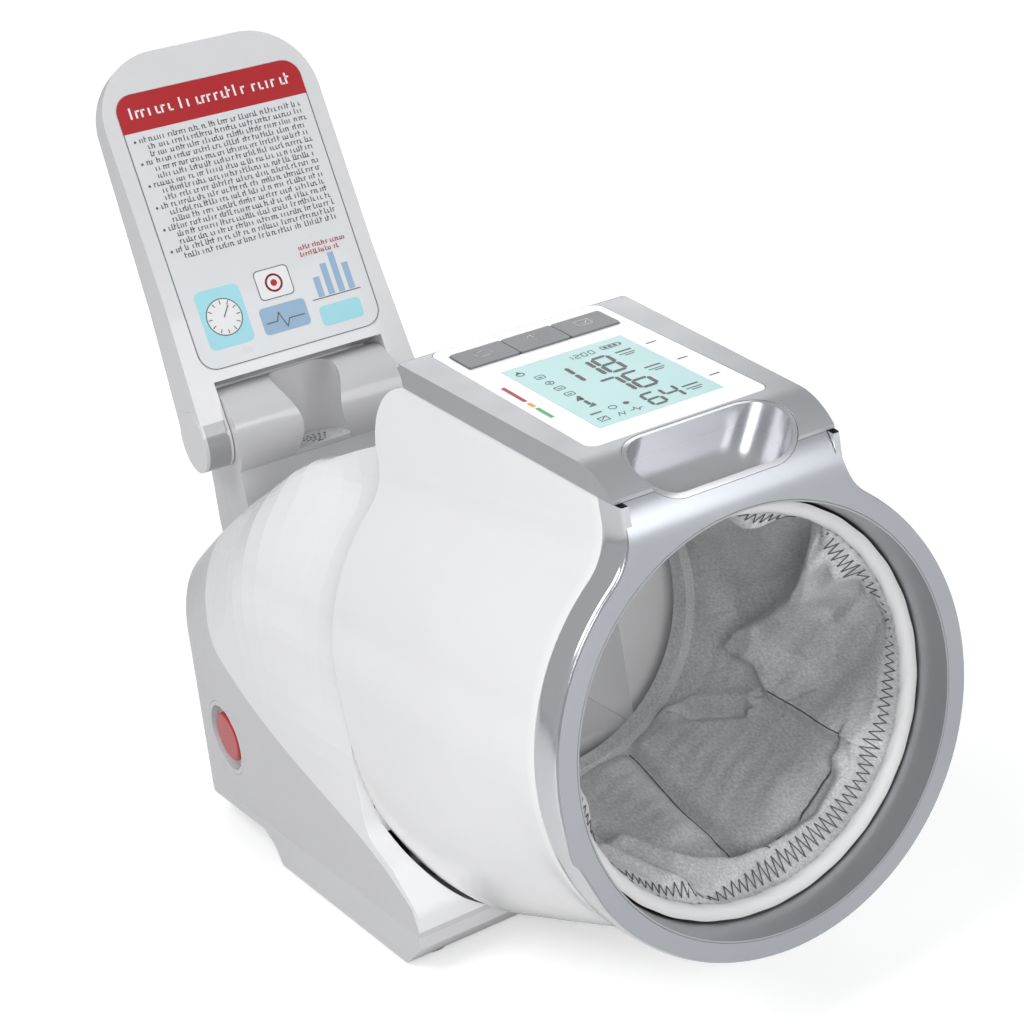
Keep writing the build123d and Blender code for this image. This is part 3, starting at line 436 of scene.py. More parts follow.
def shell_wall():
    """The wall, closed round its front and rear edges and open at the top; rows close up at the back."""
    inside = [SHELL_FRONT + ROW_PITCH * k for k in range(22)]
    inside += [REAR_ROWS + REAR_REACH * math.sin(math.radians(2.9 * k)) for k in range(1, 31)]
    loops = []
    for y, inset in edge_rows(SHELL_FRONT, BARREL_LENGTH, inside, SHELL_EDGE):
        outer = barrel_path(y, inset, rear_top(y) - inset * 0.5)
        inner = barrel_path(y, WALL - inset, rear_top(y) - WALL - ROOF_GAP)
        loops.append([(x, y, z) for x, z in outer + inner[::-1]])
    count = len(loops[0])
    faces = grid_faces(len(loops), count, closed=True)
    for base in (0, (len(loops) - 1) * count):
        for k in range(count // 2 - 1):
            faces.append((base + k, base + k + 1, base + count - 2 - k, base + count - 1 - k))
    return [p for loop in loops for p in loop], faces


def shell_roof():
    """Two layers over the top behind the cap, joined at the back."""
    depths = [CAP_REAR - 4 + 0.5 * k for k in range(9)]
    depths += [CAP_REAR + 1 + k for k in range(26)] + [BARREL_LENGTH - 0.4, BARREL_LENGTH]
    rows = []
    for y in depths:
        height = rear_top(y)
        if height >= REAR_MOUTH_TOP:
            half = barrel_side(y, 0.0, height)[0][0]
            turns = [math.pi / 2 * (2 * k / ROOF_STEPS - 1) for k in range(ROOF_STEPS + 1)]
            rows.append([(half * math.sin(turn), y, height) for turn in turns])
    upper = [p for row in rows for p in row]
    lower = [(x * ROOF_TAPER, y, z - WALL) for x, y, z in upper]
    faces = grid_faces(len(rows), ROOF_STEPS + 1)
    faces += [tuple(len(upper) + i for i in face) for face in faces]
    last = (len(rows) - 1) * (ROOF_STEPS + 1)
    low_last = len(upper) + last
    faces += [(last + k, last + k + 1, low_last + k + 1, low_last + k) for k in range(ROOF_STEPS)]
    return upper + lower, faces


def reach_to(outline, turn):
    """Distance from the axis to a closed outline in the direction turn."""
    across, up = math.cos(turn), math.sin(turn)
    reach = 0.0
    for (x0, z0), (x1, z1) in zip(outline, outline[1:] + outline[:1]):
        cross = (x1 - x0) * up - (z1 - z0) * across
        if abs(cross) < 1e-9:
            continue
        along = ((x1 - x0) * z0 - (z1 - z0) * x0) / cross
        share = (across * z0 - up * x0) / cross
        if along > 0 and -NEAR <= share <= 1 + NEAR:
            reach = max(reach, along)
    return reach


def shell_ring():
    """Flat ring across the back, from the arm's hole out to the wall."""
    outline = barrel_path(RING_DEPTH, WALL, rear_top(RING_DEPTH) - WALL)
    turns = [2 * math.pi * k / RING_STEPS for k in range(RING_STEPS)]
    radii = [RING_HOLE] * RING_STEPS + [reach_to(outline, turn) for turn in turns]
    points = [round_axis(radius, turn, RING_DEPTH) for radius, turn in zip(radii, turns + turns)]
    return points, grid_faces(2, RING_STEPS, closed=True)


points, faces = [], []
for new_points, new_faces in (shell_wall(), shell_roof(), shell_ring()):
    faces += [tuple(len(points) + i for i in face) for face in new_faces]
    points += new_points
shell = make_mesh("barrel_shell_skin", points, faces, "barrel", "shell_white", angle=40)
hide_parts("barrel_shell")

# Bright band round the front edge: its section as (depth, inset from the barrel's outside)
BAND_SECTION = [(1.2, 0.9), (1.2, 0.3), (1.6, -0.15), (2.4, -0.35), (6.0, -0.5), (10.5, -0.5),
                (12.6, -0.45), (13.5, -0.1), (13.9, 0.6), (13.9, 2.4), (1.2, 2.4)]
band_rows = []
for y, inset in BAND_SECTION:
    band_rows.append([(x, y, z) for x, z in barrel_path(y, inset, skirt_line(y))])
band = surface("trim_band_skin", band_rows, "barrel", "band_bright", angle=35,
               wrap_rows=True)
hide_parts("trim_band")

# Sleeve of loose cloth inside the barrel

def crease(turn_deg, depth, lines, radius):
    """Height of a set of soft ridges and valleys. A line is its points as (degrees, depth),
    its height in millimetres, towards the axis when positive, and its width on both sides."""
    height = np.zeros_like(turn_deg)
    for points, lift, width_low, width_high in lines:
        best = np.full_like(turn_deg, 1e9)
        sign = np.zeros_like(turn_deg)
        for (a0, y0), (a1, y1) in zip(points, points[1:]):
            px = math.radians(1) * radius * (turn_deg - a0)
            py = depth - y0
            dx = math.radians(a1 - a0) * radius
            dy = y1 - y0
            share = np.clip((px * dx + py * dy) / (dx * dx + dy * dy), 0, 1)
            off = np.hypot(px - share * dx, py - share * dy)
            side = px * dy - py * dx
            closer = off < best
            best = np.where(closer, off, best)
            sign = np.where(closer, np.sign(side), sign)
        width = np.where(sign > 0, width_high, width_low)
        height += lift * np.exp(-(best / width) ** 2)
    return height


def wavy(values, seed, count, low, high):
    """Smooth random wave round the ring, the same at both ends."""
    pick = random.Random(seed)
    total = np.zeros_like(values)
    for _ in range(count):
        times = pick.randint(low, high)
        total += pick.uniform(0.4, 1.0) * np.sin(np.radians(values) * times + pick.uniform(0, 6.28))
    return total / count


SLEEVE_RADIUS = 62.5
SLEEVE_START = 16.6
SLEEVE_END = 134.0
MOUTH_RADIUS, MOUTH_STEP = 65.6, 3.2
LEAST_RADIUS, MOST_RADIUS = 52.5, 68.4
FOLD_GAIN = 1.45
CALM_DEPTH, TAIL_DEPTH, GATHER_DEPTH, SLACK_LENGTH = 9.0, 12.0, 7.0, 117.0
# Points of each fold as (degrees round from +X towards +Z, depth), height, widths on both sides
SLEEVE_FOLDS = [
    ([(52, 24), (38, 40), (26, 50), (11, 66), (0, 86), (-8, 110)], -7.0, 7, 9),
    ([(40, 30), (30, 40), (19, 50), (8, 66), (-4, 84), (-18, 98)], 6.5, 4, 6),
    ([(44, 20), (34, 34), (24, 44), (16, 50)], 3.0, 3, 5),
    ([(36, 14), (22, 36), (9, 57), (-6, 76), (-17, 91)], 5.0, 5, 7),
    ([(30, 16), (16, 34), (4, 52)], -2.6, 4, 5),
    ([(24, 18), (12, 34), (0, 50), (-12, 66)], 1.6, 3, 5),
    ([(8, 30), (-6, 44), (-20, 56)], -4.5, 11, 13),
    ([(-17, 91), (-26, 80), (-29, 75), (-33, 33)], 4.0, 9, 3),
    ([(-39, 90), (-49, 119)], -3.6, 2.2, 5),
    ([(-34, 88), (-43, 118), (-52, 130)], 3.0, 5, 3),
    ([(-60, 52), (-62, 84), (-66, 120)], 4.6, 16, 15),
    ([(-33, 33), (-49, 37), (-66, 35)], -2.4, 2.2, 3.5),
    ([(-66, 35), (-86, 40)], -2.0, 2.4, 3.0),
    ([(-86, 40), (-80, 84), (-71, 132)], -3.4, 2.4, 3.0),
    ([(-86, 42), (-98, 43), (-112, 70), (-112, 92)], -3.0, 3.0, 4.0),
    ([(-92, 66), (-88, 100), (-84, 130)], 4.0, 9, 9),
    ([(-34, 20), (-36, 28), (-40, 31)], 3.6, 5, 5),
    ([(-44, 26), (-56, 25), (-64, 22)], 2.2, 4, 4),
    ([(-70, 22), (-84, 25), (-96, 27), (-110, 40), (-118, 60)], 4.6, 5, 6),
    ([(-76, 33), (-92, 33), (-104, 40), (-114, 62)], -3.0, 3, 3),
    ([(-88, 18), (-100, 16), (-112, 24), (-124, 50)], -2.6, 2.5, 3),
    ([(-96, 12), (-110, 13), (-124, 30), (-134, 48)], 2.6, 4, 4),
    ([(70, 30), (58, 60), (40, 92), (24, 120)], 3.4, 9, 7),
    ([(88, 24), (76, 70), (60, 118)], -4.0, 8, 8),
    ([(120, 26), (112, 70), (104, 126)], 4.0, 12, 9),
    ([(150, 24), (140, 60), (146, 120)], -3.6, 8, 10),
    ([(176, 30), (166, 74), (172, 124)], 3.6, 10, 8),
    ([(-150, 26), (-140, 70), (-146, 124)], -3.2, 8, 8),
    ([(-168, 30), (-160, 80), (-166, 124)], 3.4, 10, 10),
]
ROUND_STEPS = 600
DEPTH_STEPS = 190
turn_row = np.linspace(-180, 180, ROUND_STEPS, endpoint=False)
depth_row = SLEEVE_START + (SLEEVE_END - SLEEVE_START) * np.linspace(0, 1, DEPTH_STEPS) ** 1.12
turn_map, depth_map = np.meshgrid(turn_row, depth_row)
folds = FOLD_GAIN * crease(turn_map, depth_map, SLEEVE_FOLDS, SLEEVE_RADIUS)
into = depth_map - SLEEVE_START
calm = np.clip(into / CALM_DEPTH, 0, 1)
calm = calm * calm * (3 - 2 * calm)
tail = np.clip((SLEEVE_END - depth_map) / TAIL_DEPTH, 0, 1)
# Gathers at the sewn mouth, a fine ripple along the tube, and slow slack in its middle
bent = turn_map + 3 * wavy(turn_map, 5, 3, 3, 9)
gathers = 0.75 * wavy(bent, 11, 5, 70, 120) * np.exp(-into / GATHER_DEPTH)
gathers += 0.5 * wavy(turn_map, 21, 5, 24, 50) * np.exp(-((into - CALM_DEPTH) / CALM_DEPTH) ** 2)
ripple = 0.35 * np.sin(depth_map * 0.55 + 5 * wavy(turn_map, 31, 4, 2, 7)) * wavy(turn_map, 33, 3, 2, 6)
slack = 1.5 * np.sin(math.pi * np.clip(into / SLACK_LENGTH, 0, 1)) * wavy(turn_map, 41, 3, 3, 6)
relief = (folds + slack + ripple) * calm * (0.35 + 0.65 * tail)
in_radius = np.clip(MOUTH_RADIUS - MOUTH_STEP * calm - relief - gathers, LEAST_RADIUS, MOST_RADIUS)
sleeve_rows = []
for radii, depth in zip(in_radius, depth_row):
    sleeve_rows.append([round_axis(radius, math.radians(turn_deg), depth)
                        for radius, turn_deg in zip(radii, turn_row)])
sleeve = surface("sleeve_cloth", sleeve_rows, "barrel", "sleeve_cloth", angle=180,
                 closed=True)
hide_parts("cuff_sleeve", "air_bladder")


def radius_at(turn_deg, depth):
    """Inner radius of the cloth at a place, for stitches that lie on it."""
    place = int(round((turn_deg + 180) / 360 * ROUND_STEPS)) % ROUND_STEPS
    row = int(np.clip(np.searchsorted(depth_row, depth), 0, DEPTH_STEPS - 1))
    return float(in_radius[row, place])


TUBE_SIDES, TUBE_FLATNESS = 5, 0.7


def ribbon(name, paths, width, lift, body, look):
    """Thread or seam: thin tubes along several paths on the cloth, in one mesh."""
    points, faces = [], []
    for line in paths:
        spots = [Vector(p) for p in line]
        base = len(points)
        for index, spot in enumerate(spots):
            ahead = spots[min(index + 1, len(spots) - 1)] - spots[max(index - 1, 0)]
            ahead = ahead.normalized() if ahead.length else Vector((0, 1, 0))
            outward = Vector((spot.x, 0, spot.z)).normalized()
            across = ahead.cross(outward).normalized()
            upward = across.cross(ahead).normalized()
            for side in range(TUBE_SIDES):
                angle = 2 * math.pi * side / TUBE_SIDES
                points.append(tuple(spot - outward * lift + across * math.cos(angle) * width
                                    + upward * math.sin(angle) * width * TUBE_FLATNESS))
        faces += [tuple(base + i for i in face)
                  for face in grid_faces(len(spots), TUBE_SIDES, closed=True)]
        faces.append(tuple(range(base, base + TUBE_SIDES)))
        faces.append(tuple(range(base + (len(spots) - 1) * TUBE_SIDES, base + len(spots) * TUBE_SIDES)))
    return make_mesh(name, points, faces, body, look, angle=60)


def on_sleeve(turn_deg, depth):
    return round_axis(radius_at(turn_deg, depth), math.radians(turn_deg), depth)


# Zigzag stitches round the mouth of the sleeve
STITCHES = 132
STITCH_NEAR, STITCH_FAR = 19.0, 22.6
step = 360 / STITCHES
stitch_pick = random.Random(7)
zigzag = []
for index in range(STITCHES):
    turn_deg = -180 + 360 * index / STITCHES
    near = STITCH_NEAR + stitch_pick.uniform(-0.4, 0.4)
    far = STITCH_FAR + stitch_pick.uniform(-0.5, 0.5)
    zigzag.append([on_sleeve(turn_deg, near), on_sleeve(turn_deg + step * 0.5, far)])
    zigzag.append([on_sleeve(turn_deg + step * 0.5, far), on_sleeve(turn_deg + step, near)])
ribbon("rim_zigzag", zigzag, width=0.22, lift=0.12, body="barrel", look="thread_dark")

# Seams between the cloth's panels, as (degrees, depth)
SEAMS = [
    [(-29, 75), (-31, 54), (-33, 34)],
    [(-33, 34), (-41, 36), (-49, 37), (-58, 36), (-66, 35)],
    [(-66, 35), (-76, 37), (-86, 40)],
    [(-86, 40), (-80, 84), (-71, 131)],
    [(-86, 41), (-92, 42), (-98, 43)],
    [(-86, 41), (-84, 30), (-82, 24)],
]
SEAM_STEPS = 10
seam_paths = []
for seam in SEAMS:
    line = []
    for (a0, y0), (a1, y1) in zip(seam, seam[1:]):
        for step in range(SEAM_STEPS):
            line.append(on_sleeve(mix(a0, a1, step / SEAM_STEPS), mix(y0, y1, step / SEAM_STEPS)))
    line.append(on_sleeve(*seam[-1]))
    seam_paths.append(line)
ribbon("sleeve_seams", seam_paths, width=0.28, lift=0.05, body="barrel", look="thread_dark")

# Soft pale rim that holds the sleeve to the collar
RIM_RADIUS, RIM_HALF_WIDTH, RIM_HALF_DEPTH = 69.2, 3.6, 3.3
RIM_PLACES, RIM_STEPS = 240, 16
PUCKERS, PUCKER_HEIGHT = 31, 0.12
rim_rows = []
for place in range(RIM_PLACES):
    turn = 2 * math.pi * place / RIM_PLACES
    row = []
    for step in range(RIM_STEPS + 1):
        bend = math.pi * (1.15 * step / RIM_STEPS - 0.1)
        pucker = PUCKER_HEIGHT * math.sin(PUCKERS * turn + step)
        radius = RIM_RADIUS - RIM_HALF_WIDTH * math.sin(bend) + pucker
        row.append(round_axis(radius, turn, SLEEVE_START - RIM_HALF_DEPTH * math.cos(bend)))
    rim_rows.append(row)
rim = surface("soft_rim", rim_rows, "barrel", "rim_pale", angle=180, wrap_rows=True)
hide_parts("cuff_rim_ring")

# Flat printed or laid shapes: thin plates on a plane of the object

INK_THICK = 0.05
# Heights of the printed layers above the face that carries them
ON_FACE, ON_SCREEN, SECOND_LAYER, THIRD_LAYER = 0.01, 0.03, 0.07, 0.13


def plates(name, shapes, place, body, look, base):
    """One mesh of thin plates; place(x, y, n) turns a shape's own corners into points."""
    points, faces = [], []
    for shape in shapes:
        start, count = len(points), len(shape)
        points += [place(x, y, base) for x, y in shape]
        points += [place(x, y, base + INK_THICK) for x, y in shape]
        faces.append(tuple(range(start + count - 1, start - 1, -1)))
        faces.append(tuple(range(start + count, start + 2 * count)))
        for index in range(count):
            after = (index + 1) % count
            faces.append((start + index, start + after, start + count + after, start + count + index))
    return make_mesh(name, points, faces, body, look, angle=20)


def bar(x, y, width, height):
    return [(x, y), (x + width, y), (x + width, y + height), (x, y + height)]


def disc(x, y, radius, count=20):
    return [(x + radius * math.cos(2 * math.pi * k / count), y + radius * math.sin(2 * math.pi * k / count))
            for k in range(count)]


def rounded(x, y, width, height, corner, steps=6):
    """Rectangle with round corners, its lower left corner at x, y."""
    shape = []
    for cx, cy, start in ((x + width - corner, y + corner, -90), (x + width - corner, y + height - corner, 0),
                          (x + corner, y + height - corner, 90), (x + corner, y + corner, 180)):
        for step in range(steps + 1):
            turn = math.radians(start + 90 * step / steps)
            shape.append((cx + corner * math.cos(turn), cy + corner * math.sin(turn)))
    return shape


def stroke(spots, width, closed=False):
    """Quads along a line of points, for drawn lines."""
    shapes = []
    count = len(spots)
    for index in range(count if closed else count - 1):
        (x0, y0), (x1, y1) = spots[index], spots[(index + 1) % count]
        length = math.hypot(x1 - x0, y1 - y0)
        if length < 1e-6:
            continue
        ux, uy = (x1 - x0) / length * width / 2, (y1 - y0) / length * width / 2
        shapes.append([(x0 - ux - uy, y0 - uy + ux), (x0 - ux + uy, y0 - uy - ux),
                       (x1 + ux + uy, y1 + uy - ux), (x1 + ux - uy, y1 + uy + ux)])
    return shapes


def ring_shape(x, y, radius, width, count=24, start=0, end=360):
    """Quads along a circle, or along an arc from start to end in degrees."""
    spots = []
    for step in range(count + 1):
        turn = math.radians(start + (end - start) * step / count)
        spots.append((x + radius * math.cos(turn), y + radius * math.sin(turn)))
    return stroke(spots, width)


SEGMENTS = {"0": "abcdef", "1": "bc", "2": "abged", "3": "abgcd", "4": "fgbc", "5": "afgcd",
            "6": "afgedc", "7": "abc", "8": "abcdefg", "9": "abcdfg"}
DIGIT_LEAN = 0.04


def segment_digit(mark, x, y, width, height, thick):
    """Seven-bar numeral with pointed bars, its lower left corner at x, y."""
    half = height / 2
    gap = thick * 0.14
    ends = {"a": ((0, height), (width, height)), "g": ((0, half), (width, half)), "d": ((0, 0), (width, 0)),
            "f": ((0, half), (0, height)), "b": ((width, half), (width, height)),
            "e": ((0, 0), (0, half)), "c": ((width, 0), (width, half))}
    shapes = []
    for letter in SEGMENTS[mark]:
        (x0, y0), (x1, y1) = ends[letter]
        length = math.hypot(x1 - x0, y1 - y0)
        ux, uy = (x1 - x0) / length, (y1 - y0) / length
        x0, y0, x1, y1 = x0 + ux * gap, y0 + uy * gap, x1 - ux * gap, y1 - uy * gap
        nx, ny = -uy * thick / 2, ux * thick / 2
        tip = thick / 2
        six = [(x0, y0), (x0 + ux * tip + nx, y0 + uy * tip + ny), (x1 - ux * tip + nx, y1 - uy * tip + ny),
               (x1, y1), (x1 - ux * tip - nx, y1 - uy * tip - ny), (x0 + ux * tip - nx, y0 + uy * tip - ny)]
        shapes.append([(x + a + DIGIT_LEAN * b, y + b) for a, b in six])
    return shapes


def number(text, x, y, width, height, thick, pitch):
    shapes = []
    for index, mark in enumerate(text):
        shapes += segment_digit(mark, x + index * pitch, y, width, height, thick)
    return shapes


def top_point(x, y, n):
    """A place on the sloping top: x and y as seen from above, n above it."""
    return (x, y - n * math.sin(TOP_SLOPE), TOP_FRONT + math.tan(TOP_SLOPE) * y + n * math.cos(TOP_SLOPE))


# Screen: a pale face with plain seven-bar numerals and small generic marks
screen_marks = number("118", -12.6, 70.6, 6.0, 13.6, 1.55, 8.2)
screen_marks += number("76", -4.2, 53.6, 6.2, 13.4, 1.5, 8.4)
screen_marks += number("64", -0.6, 39.6, 5.0, 9.4, 1.2, 7.2)
screen_marks += number("1", -21.0, 53.4, 5.0, 9.0, 1.3, 7.0)
plates("screen_numerals", screen_marks, top_point, "barrel", "lcd_black", base=ON_SCREEN)
# Clock with its colon, and a battery with three cells
small_marks = number("1200", -1.4, 88.2, 1.7, 3.0, 0.34, 2.9)
small_marks += [disc(4.0, 89.0, 0.22), disc(4.0, 90.4, 0.22)]
small_marks += stroke(rounded(12.4, 88.7, 7.4, 2.6, 0.8), 0.28, closed=True)
small_marks += [bar(13.4 + 1.9 * k, 89.3, 1.3, 1.4) for k in range(3)]
small_marks += [bar(19.9, 89.4, 0.5, 1.1)]
# Left column: framed bars, a ring with a dot, triangles, a drop
for mark_y in (83.4, 71.4, 65.4):
    small_marks += stroke(rounded(-18.0, mark_y - 1.5, 3.2, 2.8, 0.6), 0.28, closed=True)
    small_marks += [bar(-17.2, mark_y - 0.5, 1.6, 0.5)]
small_marks += ring_shape(-16.5, 77.2, 1.4, 0.28)
small_marks += [disc(-16.5, 77.2, 0.5)]
small_marks += [[(-18.0, 58.6), (-15.0, 58.6), (-16.5, 61.2)], [(-17.6, 52.0), (-14.6, 52.0), (-14.6, 54.6)]]
small_marks += ring_shape(-20.2, 89.6, 1.3, 0.34) + [[(-21.2, 90.2), (-19.2, 90.2), (-20.2, 92.4)]]
# Lower left: a ring and a dot, a box with a stroke, and two zigzags
small_marks += ring_shape(-11.9, 47.2, 1.3, 0.28) + [disc(-6.7, 47.2, 1.1)]
small_marks += stroke([(-20.6, 40.2), (-17.4, 40.2), (-17.4, 43.0), (-20.6, 43.0)], 0.3, closed=True)
small_marks += stroke([(-19.8, 41.2), (-18.2, 42.6)], 0.3)
small_marks += stroke([(-13.8, 40.2), (-12.8, 42.4), (-11.8, 40.2), (-10.8, 42.4)], 0.3)
small_marks += stroke([(-8.8, 41.2), (-7.6, 41.2), (-7.0, 42.8), (-6.2, 39.9), (-5.6, 41.2),
                       (-4.6, 41.2)], 0.3)
# Bars beside each numeral, where its unit would stand
for row_y in (83.2, 66.0, 45.0):
    small_marks += [bar(14.0, row_y, 6.2, 0.9), bar(14.0, row_y - 2.2, 6.2, 0.5)]
    small_marks += [bar(15.5, row_y - 3.6, 3.6, 0.5)]
small_marks += [bar(-20.6, 46.4, 4.2, 0.9)]
plates("screen_small_marks", small_marks, top_point, "barrel", "ink_dark", base=ON_SCREEN)

# Plain bars and marks printed on the white panel, each bar as (lower end, length)
PANEL_BARS = {"red": (69.6, 14.4), "amber": (64.2, 3.8), "green": (53.4, 9.4)}
for colour, (low, length) in PANEL_BARS.items():
    plates("panel_bar_" + colour, [bar(-31.4, low, 1.5, length)], top_point, "barrel", "ink_" + colour,
           base=ON_FACE)
side_marks = [bar(26.4, mark_y - 0.35, 4.0, 0.7) for mark_y in (83.4, 65.2, 47.2)]
plates("panel_marks", side_marks, top_point, "barrel", "ink_dark", base=ON_FACE)

# Pale generic marks on the keys
KEY_TOP = 0.6
key_marks = {
    "memory_key": stroke(rounded(-23.6, 110.6, 6.2, 4.2, 1.2), 0.35, closed=True)
    + ring_shape(-20.5, 115.2, 1.2, 0.3),
    "power_key": ring_shape(0, 113.2, 2.3, 0.4, 24, 120, 420) + stroke([(0, 113.4), (0, 116.2)], 0.4),
    "user_key": stroke([(17.6, 110.8), (23.2, 110.8), (23.2, 115.4), (17.6, 115.4)], 0.35, closed=True)
    + stroke([(19.4, 112.8), (20.4, 111.9), (22.4, 114.4)], 0.4),
}
for key, shapes in key_marks.items():
    plates(key + "_mark", shapes, top_point, key + "_body", "ink_pale", base=KEY_TOP + ON_FACE)

# Instruction label on the lid: a plain generic design
LEAN = math.radians(18.5)
HINGE_DEPTH, HINGE_HEIGHT, LID_FACE = 331.0, 54.0, 13.5


def lid_point(x, u, n):
    """A place on the lid: x across, u up from the hinge along it, n above its front face."""
    depth = n + LID_FACE
    return (x, HINGE_DEPTH + u * math.sin(LEAN) - depth * math.cos(LEAN),
            HINGE_HEIGHT + u * math.cos(LEAN) + depth * math.sin(LEAN))


LABEL_HALF, LABEL_LOW, LABEL_HIGH, HEADER, CORNER = 43.5, 26.0, 148.6, 16.4, 8
header = []
for cx, start in ((LABEL_HALF - CORNER, 0), (-LABEL_HALF + CORNER, 90)):
    for step in range(9):
        turn = math.radians(start + 90 * step / 8)
        header.append((cx + CORNER * math.cos(turn), LABEL_HIGH - CORNER + CORNER * math.sin(turn)))
header += [(-LABEL_HALF, LABEL_HIGH - HEADER), (LABEL_HALF, LABEL_HIGH - HEADER)]
plates("label_header", [header], lid_point, "lid", "ink_red", base=ON_FACE)
text_pick = random.Random(19)


def greeked(x, u, end, size, step_share=0.62):
    """A line of small bars in word-like groups, which stands for text and says nothing."""
    shapes = []
    while x < end:
        for _ in range(text_pick.randint(2, 8)):
            tall = size * (1.45 if text_pick.random() < 0.25 else 1.0)
            shapes.append(bar(x, u, size * 0.26, tall))
            if text_pick.random() < 0.7:
                foot = u + (size - size * 0.22) * text_pick.choice([0, 1])
                shapes.append(bar(x, foot, size * 0.6, size * 0.22))
            x += size * step_share * text_pick.choice([1.0, 1.35])
            if x > end:
                break
        x += size * 0.55
    return shapes


plates("label_header_marks", greeked(-38, LABEL_HIGH - 10.6, 36, 3.4, 0.74), lid_point, "lid", "ink_white",
       base=SECOND_LAYER)
TEXT_LINES, TEXT_TOP, TEXT_PITCH, TEXT_SIZE = 17, 127.4, 3.25, 1.75
text_lines = []
for index in range(TEXT_LINES):
    u = TEXT_TOP - TEXT_PITCH * index
    starts_item, ends_item = index % 3 == 0, index % 3 == 2
    if starts_item:
        text_lines.append(disc(-39.6, u + 0.8, 0.6, 10))
    end = text_pick.choice([36, 38, 39, 12]) if ends_item else 38
    text_lines += greeked(-37.6 if starts_item else -34.6, u, end, TEXT_SIZE)
plates("label_text_lines", text_lines, lid_point, "lid", "ink_dark", base=ON_FACE)
EDGE_LINE = 0.2
outline = rounded(-LABEL_HALF + EDGE_LINE, LABEL_LOW + EDGE_LINE, 2 * LABEL_HALF - 2 * EDGE_LINE,
                  LABEL_HIGH - LABEL_LOW - 2 * EDGE_LINE, CORNER, 8)
plates("label_outline", stroke(outline, 0.35, closed=True), lid_point, "lid", "ink_dark", base=0.006)
cyan = [rounded(-37, 34, 21, 26, 3), rounded(16, 31, 20, 9, 2)]
plates("label_panel_cyan", cyan, lid_point, "lid", "ink_cyan", base=ON_FACE)
blue = [rounded(-11, 34, 22, 12, 2)]
blue += [bar(18 + 5 * k, 44, 3, height) for k, height in enumerate((9, 14, 18, 12))]
plates("label_panel_blue", blue, lid_point, "lid", "ink_blue", base=ON_FACE)
DIAL_X, DIAL_U, DIAL_RADIUS = -26.5, 47, 8
white_parts = [disc(DIAL_X, DIAL_U, DIAL_RADIUS, 32), rounded(-8, 49, 16, 13, 2)]
plates("label_panel_white", white_parts, lid_point, "lid", "ink_white", base=SECOND_LAYER)
dark_parts = ring_shape(DIAL_X, DIAL_U, DIAL_RADIUS, 0.4, 40)
for tick in range(12):
    turn = math.radians(30 * tick)
    dark_parts += stroke([(DIAL_X + reach * math.cos(turn), DIAL_U + reach * math.sin(turn))
                          for reach in (5.8, 7.2)], 0.4)
dark_parts += stroke([(DIAL_X, DIAL_U), (-23.4, 51.4)], 0.5)
dark_parts += stroke([(-9, 39), (-4, 39), (-2.4, 42.6), (0, 35.8), (1.8, 39), (9, 39)], 0.45)
dark_parts += stroke(rounded(-8, 49, 16, 13, 2), 0.35, closed=True)
dark_parts += stroke([(15, 43.4), (38, 43.4)], 0.4)
plates("label_drawn_lines", dark_parts, lid_point, "lid", "ink_dark", base=THIRD_LAYER)
red_parts = ring_shape(0, 55.5, 3.6, 0.9) + [disc(0, 55.5, 1.5)]
red_parts += greeked(16, 66, 38, 1.5) + greeked(16, 63, 34, 1.5)
plates("label_red_marks", red_parts, lid_point, "lid", "ink_red", base=THIRD_LAYER)

# Holes in the speaker's pad, drawn as dark discs on the flat pad: painted shade where the holes would be.
# Rows that bend with the pad's own round, as (half spread in degrees, holes)
GROOVE_CENTRE, PAD_HEIGHT = 323.0, 42.0
HOLE_ROWS = [(34, 6), (36, 6), (42, 5), (56, 4), (90, 3)]
hole_shades = []
for row, (spread, count) in enumerate(HOLE_ROWS):
    reach = 11.2 - 2.6 * row
    for k in range(count):
        turn = math.radians(90 + spread * (2 * k / (count - 1) - 1))
        hole_shades.append(disc(reach * math.cos(turn), GROOVE_CENTRE - 4 + reach * math.sin(turn), 0.62, 12))
# The dark discs are painted shade of the holes, not openings in the pad
plates("speaker_hole_shades", hole_shades, lambda x, y, n: (x, y, PAD_HEIGHT + n), "base", "dark_works_and_hole_shade", base=ON_FACE)

# Floor, lights and camera

def camera_sees(tree, usual, seen, target):
    """Links to target a shader that is seen for the camera's rays and usual for all others."""
    rays = tree.nodes.new("ShaderNodeLightPath")
    chooser = tree.nodes.new("ShaderNodeMixShader")
    tree.links.new(rays.outputs["Is Camera Ray"], chooser.inputs[0])
    tree.links.new(usual.outputs[0], chooser.inputs[1])
    tree.links.new(seen.outputs[0], chooser.inputs[2])
    tree.links.new(chooser.outputs[0], target)


world = bpy.data.worlds.new("studio")
bpy.context.scene.world = world
world.use_nodes = True
tree = world.node_tree
backdrop = tree.nodes["Background"]
backdrop.inputs["Color"].default_value = (0.97, 0.98, 1.0, 1)
backdrop.inputs["Strength"].default_value = 0.42
white = tree.nodes.new("ShaderNodeBackground")
white.inputs["Color"].default_value = (1, 1, 1, 1)
white.inputs["Strength"].default_value = 1.0
camera_sees(tree, backdrop, white, tree.nodes["World Output"].inputs["Surface"])

floor_mesh = bpy.data.meshes.new("floor")
floor_mesh.from_pydata([(-9, -9, 0), (9, -9, 0), (9, 9, 0), (-9, 9, 0)], [], [(0, 1, 2, 3)])
floor = bpy.data.objects.new("floor", floor_mesh)
bpy.context.collection.objects.link(floor)
floor_look, tree, shader = new_material("floor_white")
shader.inputs["Base Color"].default_value = (0.80, 0.80, 0.80, 1)
shader.inputs["Roughness"].default_value = 0.7
shader.inputs["Specular IOR Level"].default_value = 0.15
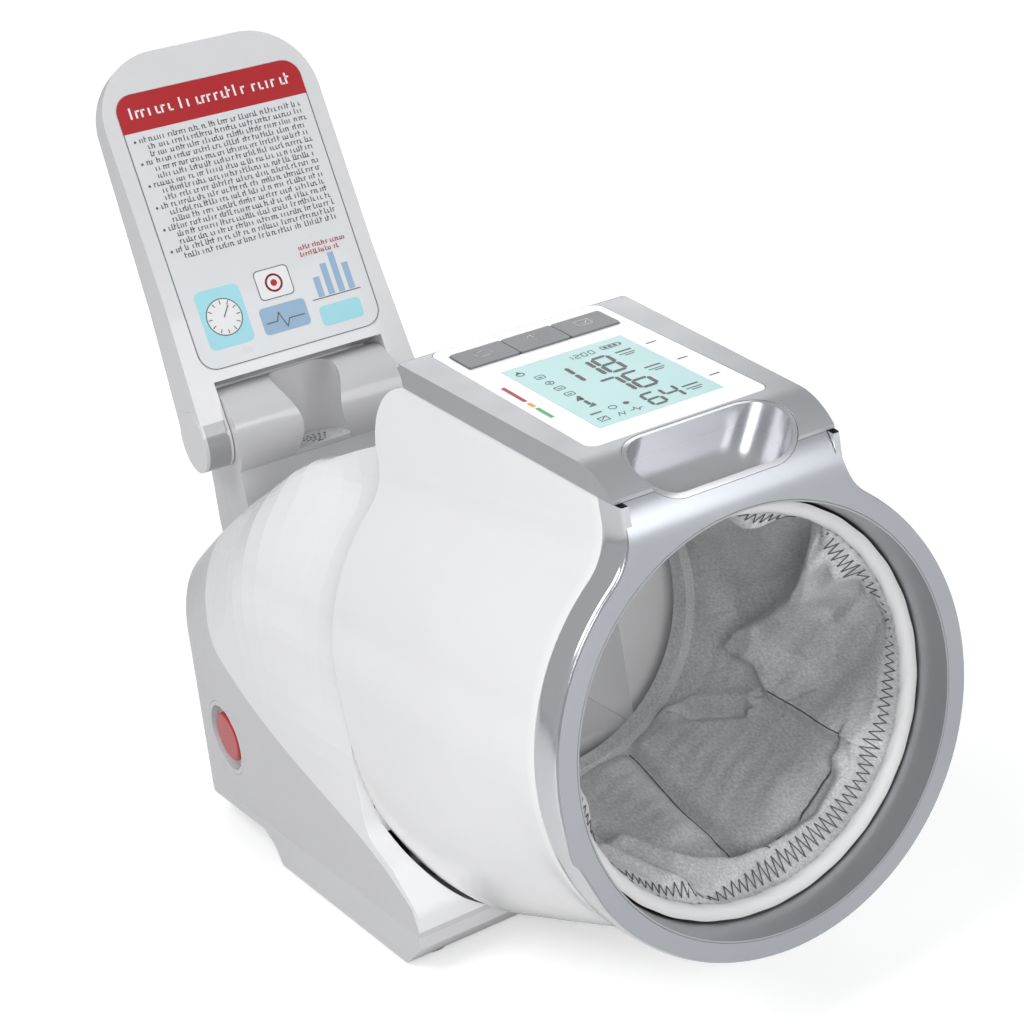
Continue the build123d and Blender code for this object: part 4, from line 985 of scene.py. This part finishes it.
# The floor seen by the camera glows more with the distance, so it fades to white round the object
glow = tree.nodes.new("ShaderNodeEmission")
place = tree.nodes.new("ShaderNodeTexCoord")
distance = tree.nodes.new("ShaderNodeVectorMath")
distance.operation = "LENGTH"
tree.links.new(place.outputs["Object"], distance.inputs[0])
tree.links.new(ramp(tree, distance.outputs["Value"], 0.42, 0.72, 0.35, 1.8), glow.inputs["Strength"])
total = tree.nodes.new("ShaderNodeAddShader")
tree.links.new(shader.outputs[0], total.inputs[0])
tree.links.new(glow.outputs[0], total.inputs[1])
camera_sees(tree, shader, total, tree.nodes["Material Output"].inputs["Surface"])
floor_mesh.materials.append(floor_look)


def lamp(name, place, aim, size, power):
    data = bpy.data.lights.new(name, "AREA")
    data.shape = "RECTANGLE"
    data.size, data.size_y = size
    data.energy = power
    obj = bpy.data.objects.new(name, data)
    bpy.context.collection.objects.link(obj)
    obj.location = place
    obj.rotation_mode = "QUATERNION"
    obj.rotation_quaternion = (Vector(aim) - Vector(place)).to_track_quat("-Z", "Y")


lamp("key", (-1.1, -0.2, 1.5), (0, 0, 0.12), (1.1, 1.1), 13)
lamp("fill", (0.55, -1.5, 0.55), (0, -0.05, 0.12), (0.5, 0.8), 5)
lamp("inside", (-0.35, -0.95, 0.42), (0.03, -0.12, 0.10), (0.25, 0.25), 3.2)
lamp("rim", (0.5, 1.3, 1.1), (0, 0, 0.15), (1.2, 0.6), 4)

CAMERA_AT = (-0.3554, -0.72664, 0.4042)
CAMERA_BACK = (-0.436, -0.846, 0.306)
CAMERA_ROLL = -10.103
CAMERA_TURN = -27.286
LENS, SENSOR = 77.15, 36.0
back = Vector(CAMERA_BACK).normalized()
turn = math.radians(CAMERA_TURN)
level = Vector((math.cos(turn), math.sin(turn), 0))
level = (level - back * level.dot(back)).normalized()
upward = back.cross(level)
roll = math.radians(CAMERA_ROLL)
right = level * math.cos(roll) + upward * math.sin(roll)
up = upward * math.cos(roll) - level * math.sin(roll)
camera_data = bpy.data.cameras.new("camera")
camera_data.lens = LENS
camera_data.sensor_width = SENSOR
camera = bpy.data.objects.new("camera", camera_data)
bpy.context.collection.objects.link(camera)
camera.matrix_world = Matrix.Translation(CAMERA_AT) @ Matrix((right, up, back)).transposed().to_4x4()
bpy.context.scene.camera = camera
bpy.context.scene.view_settings.view_transform = "Standard"
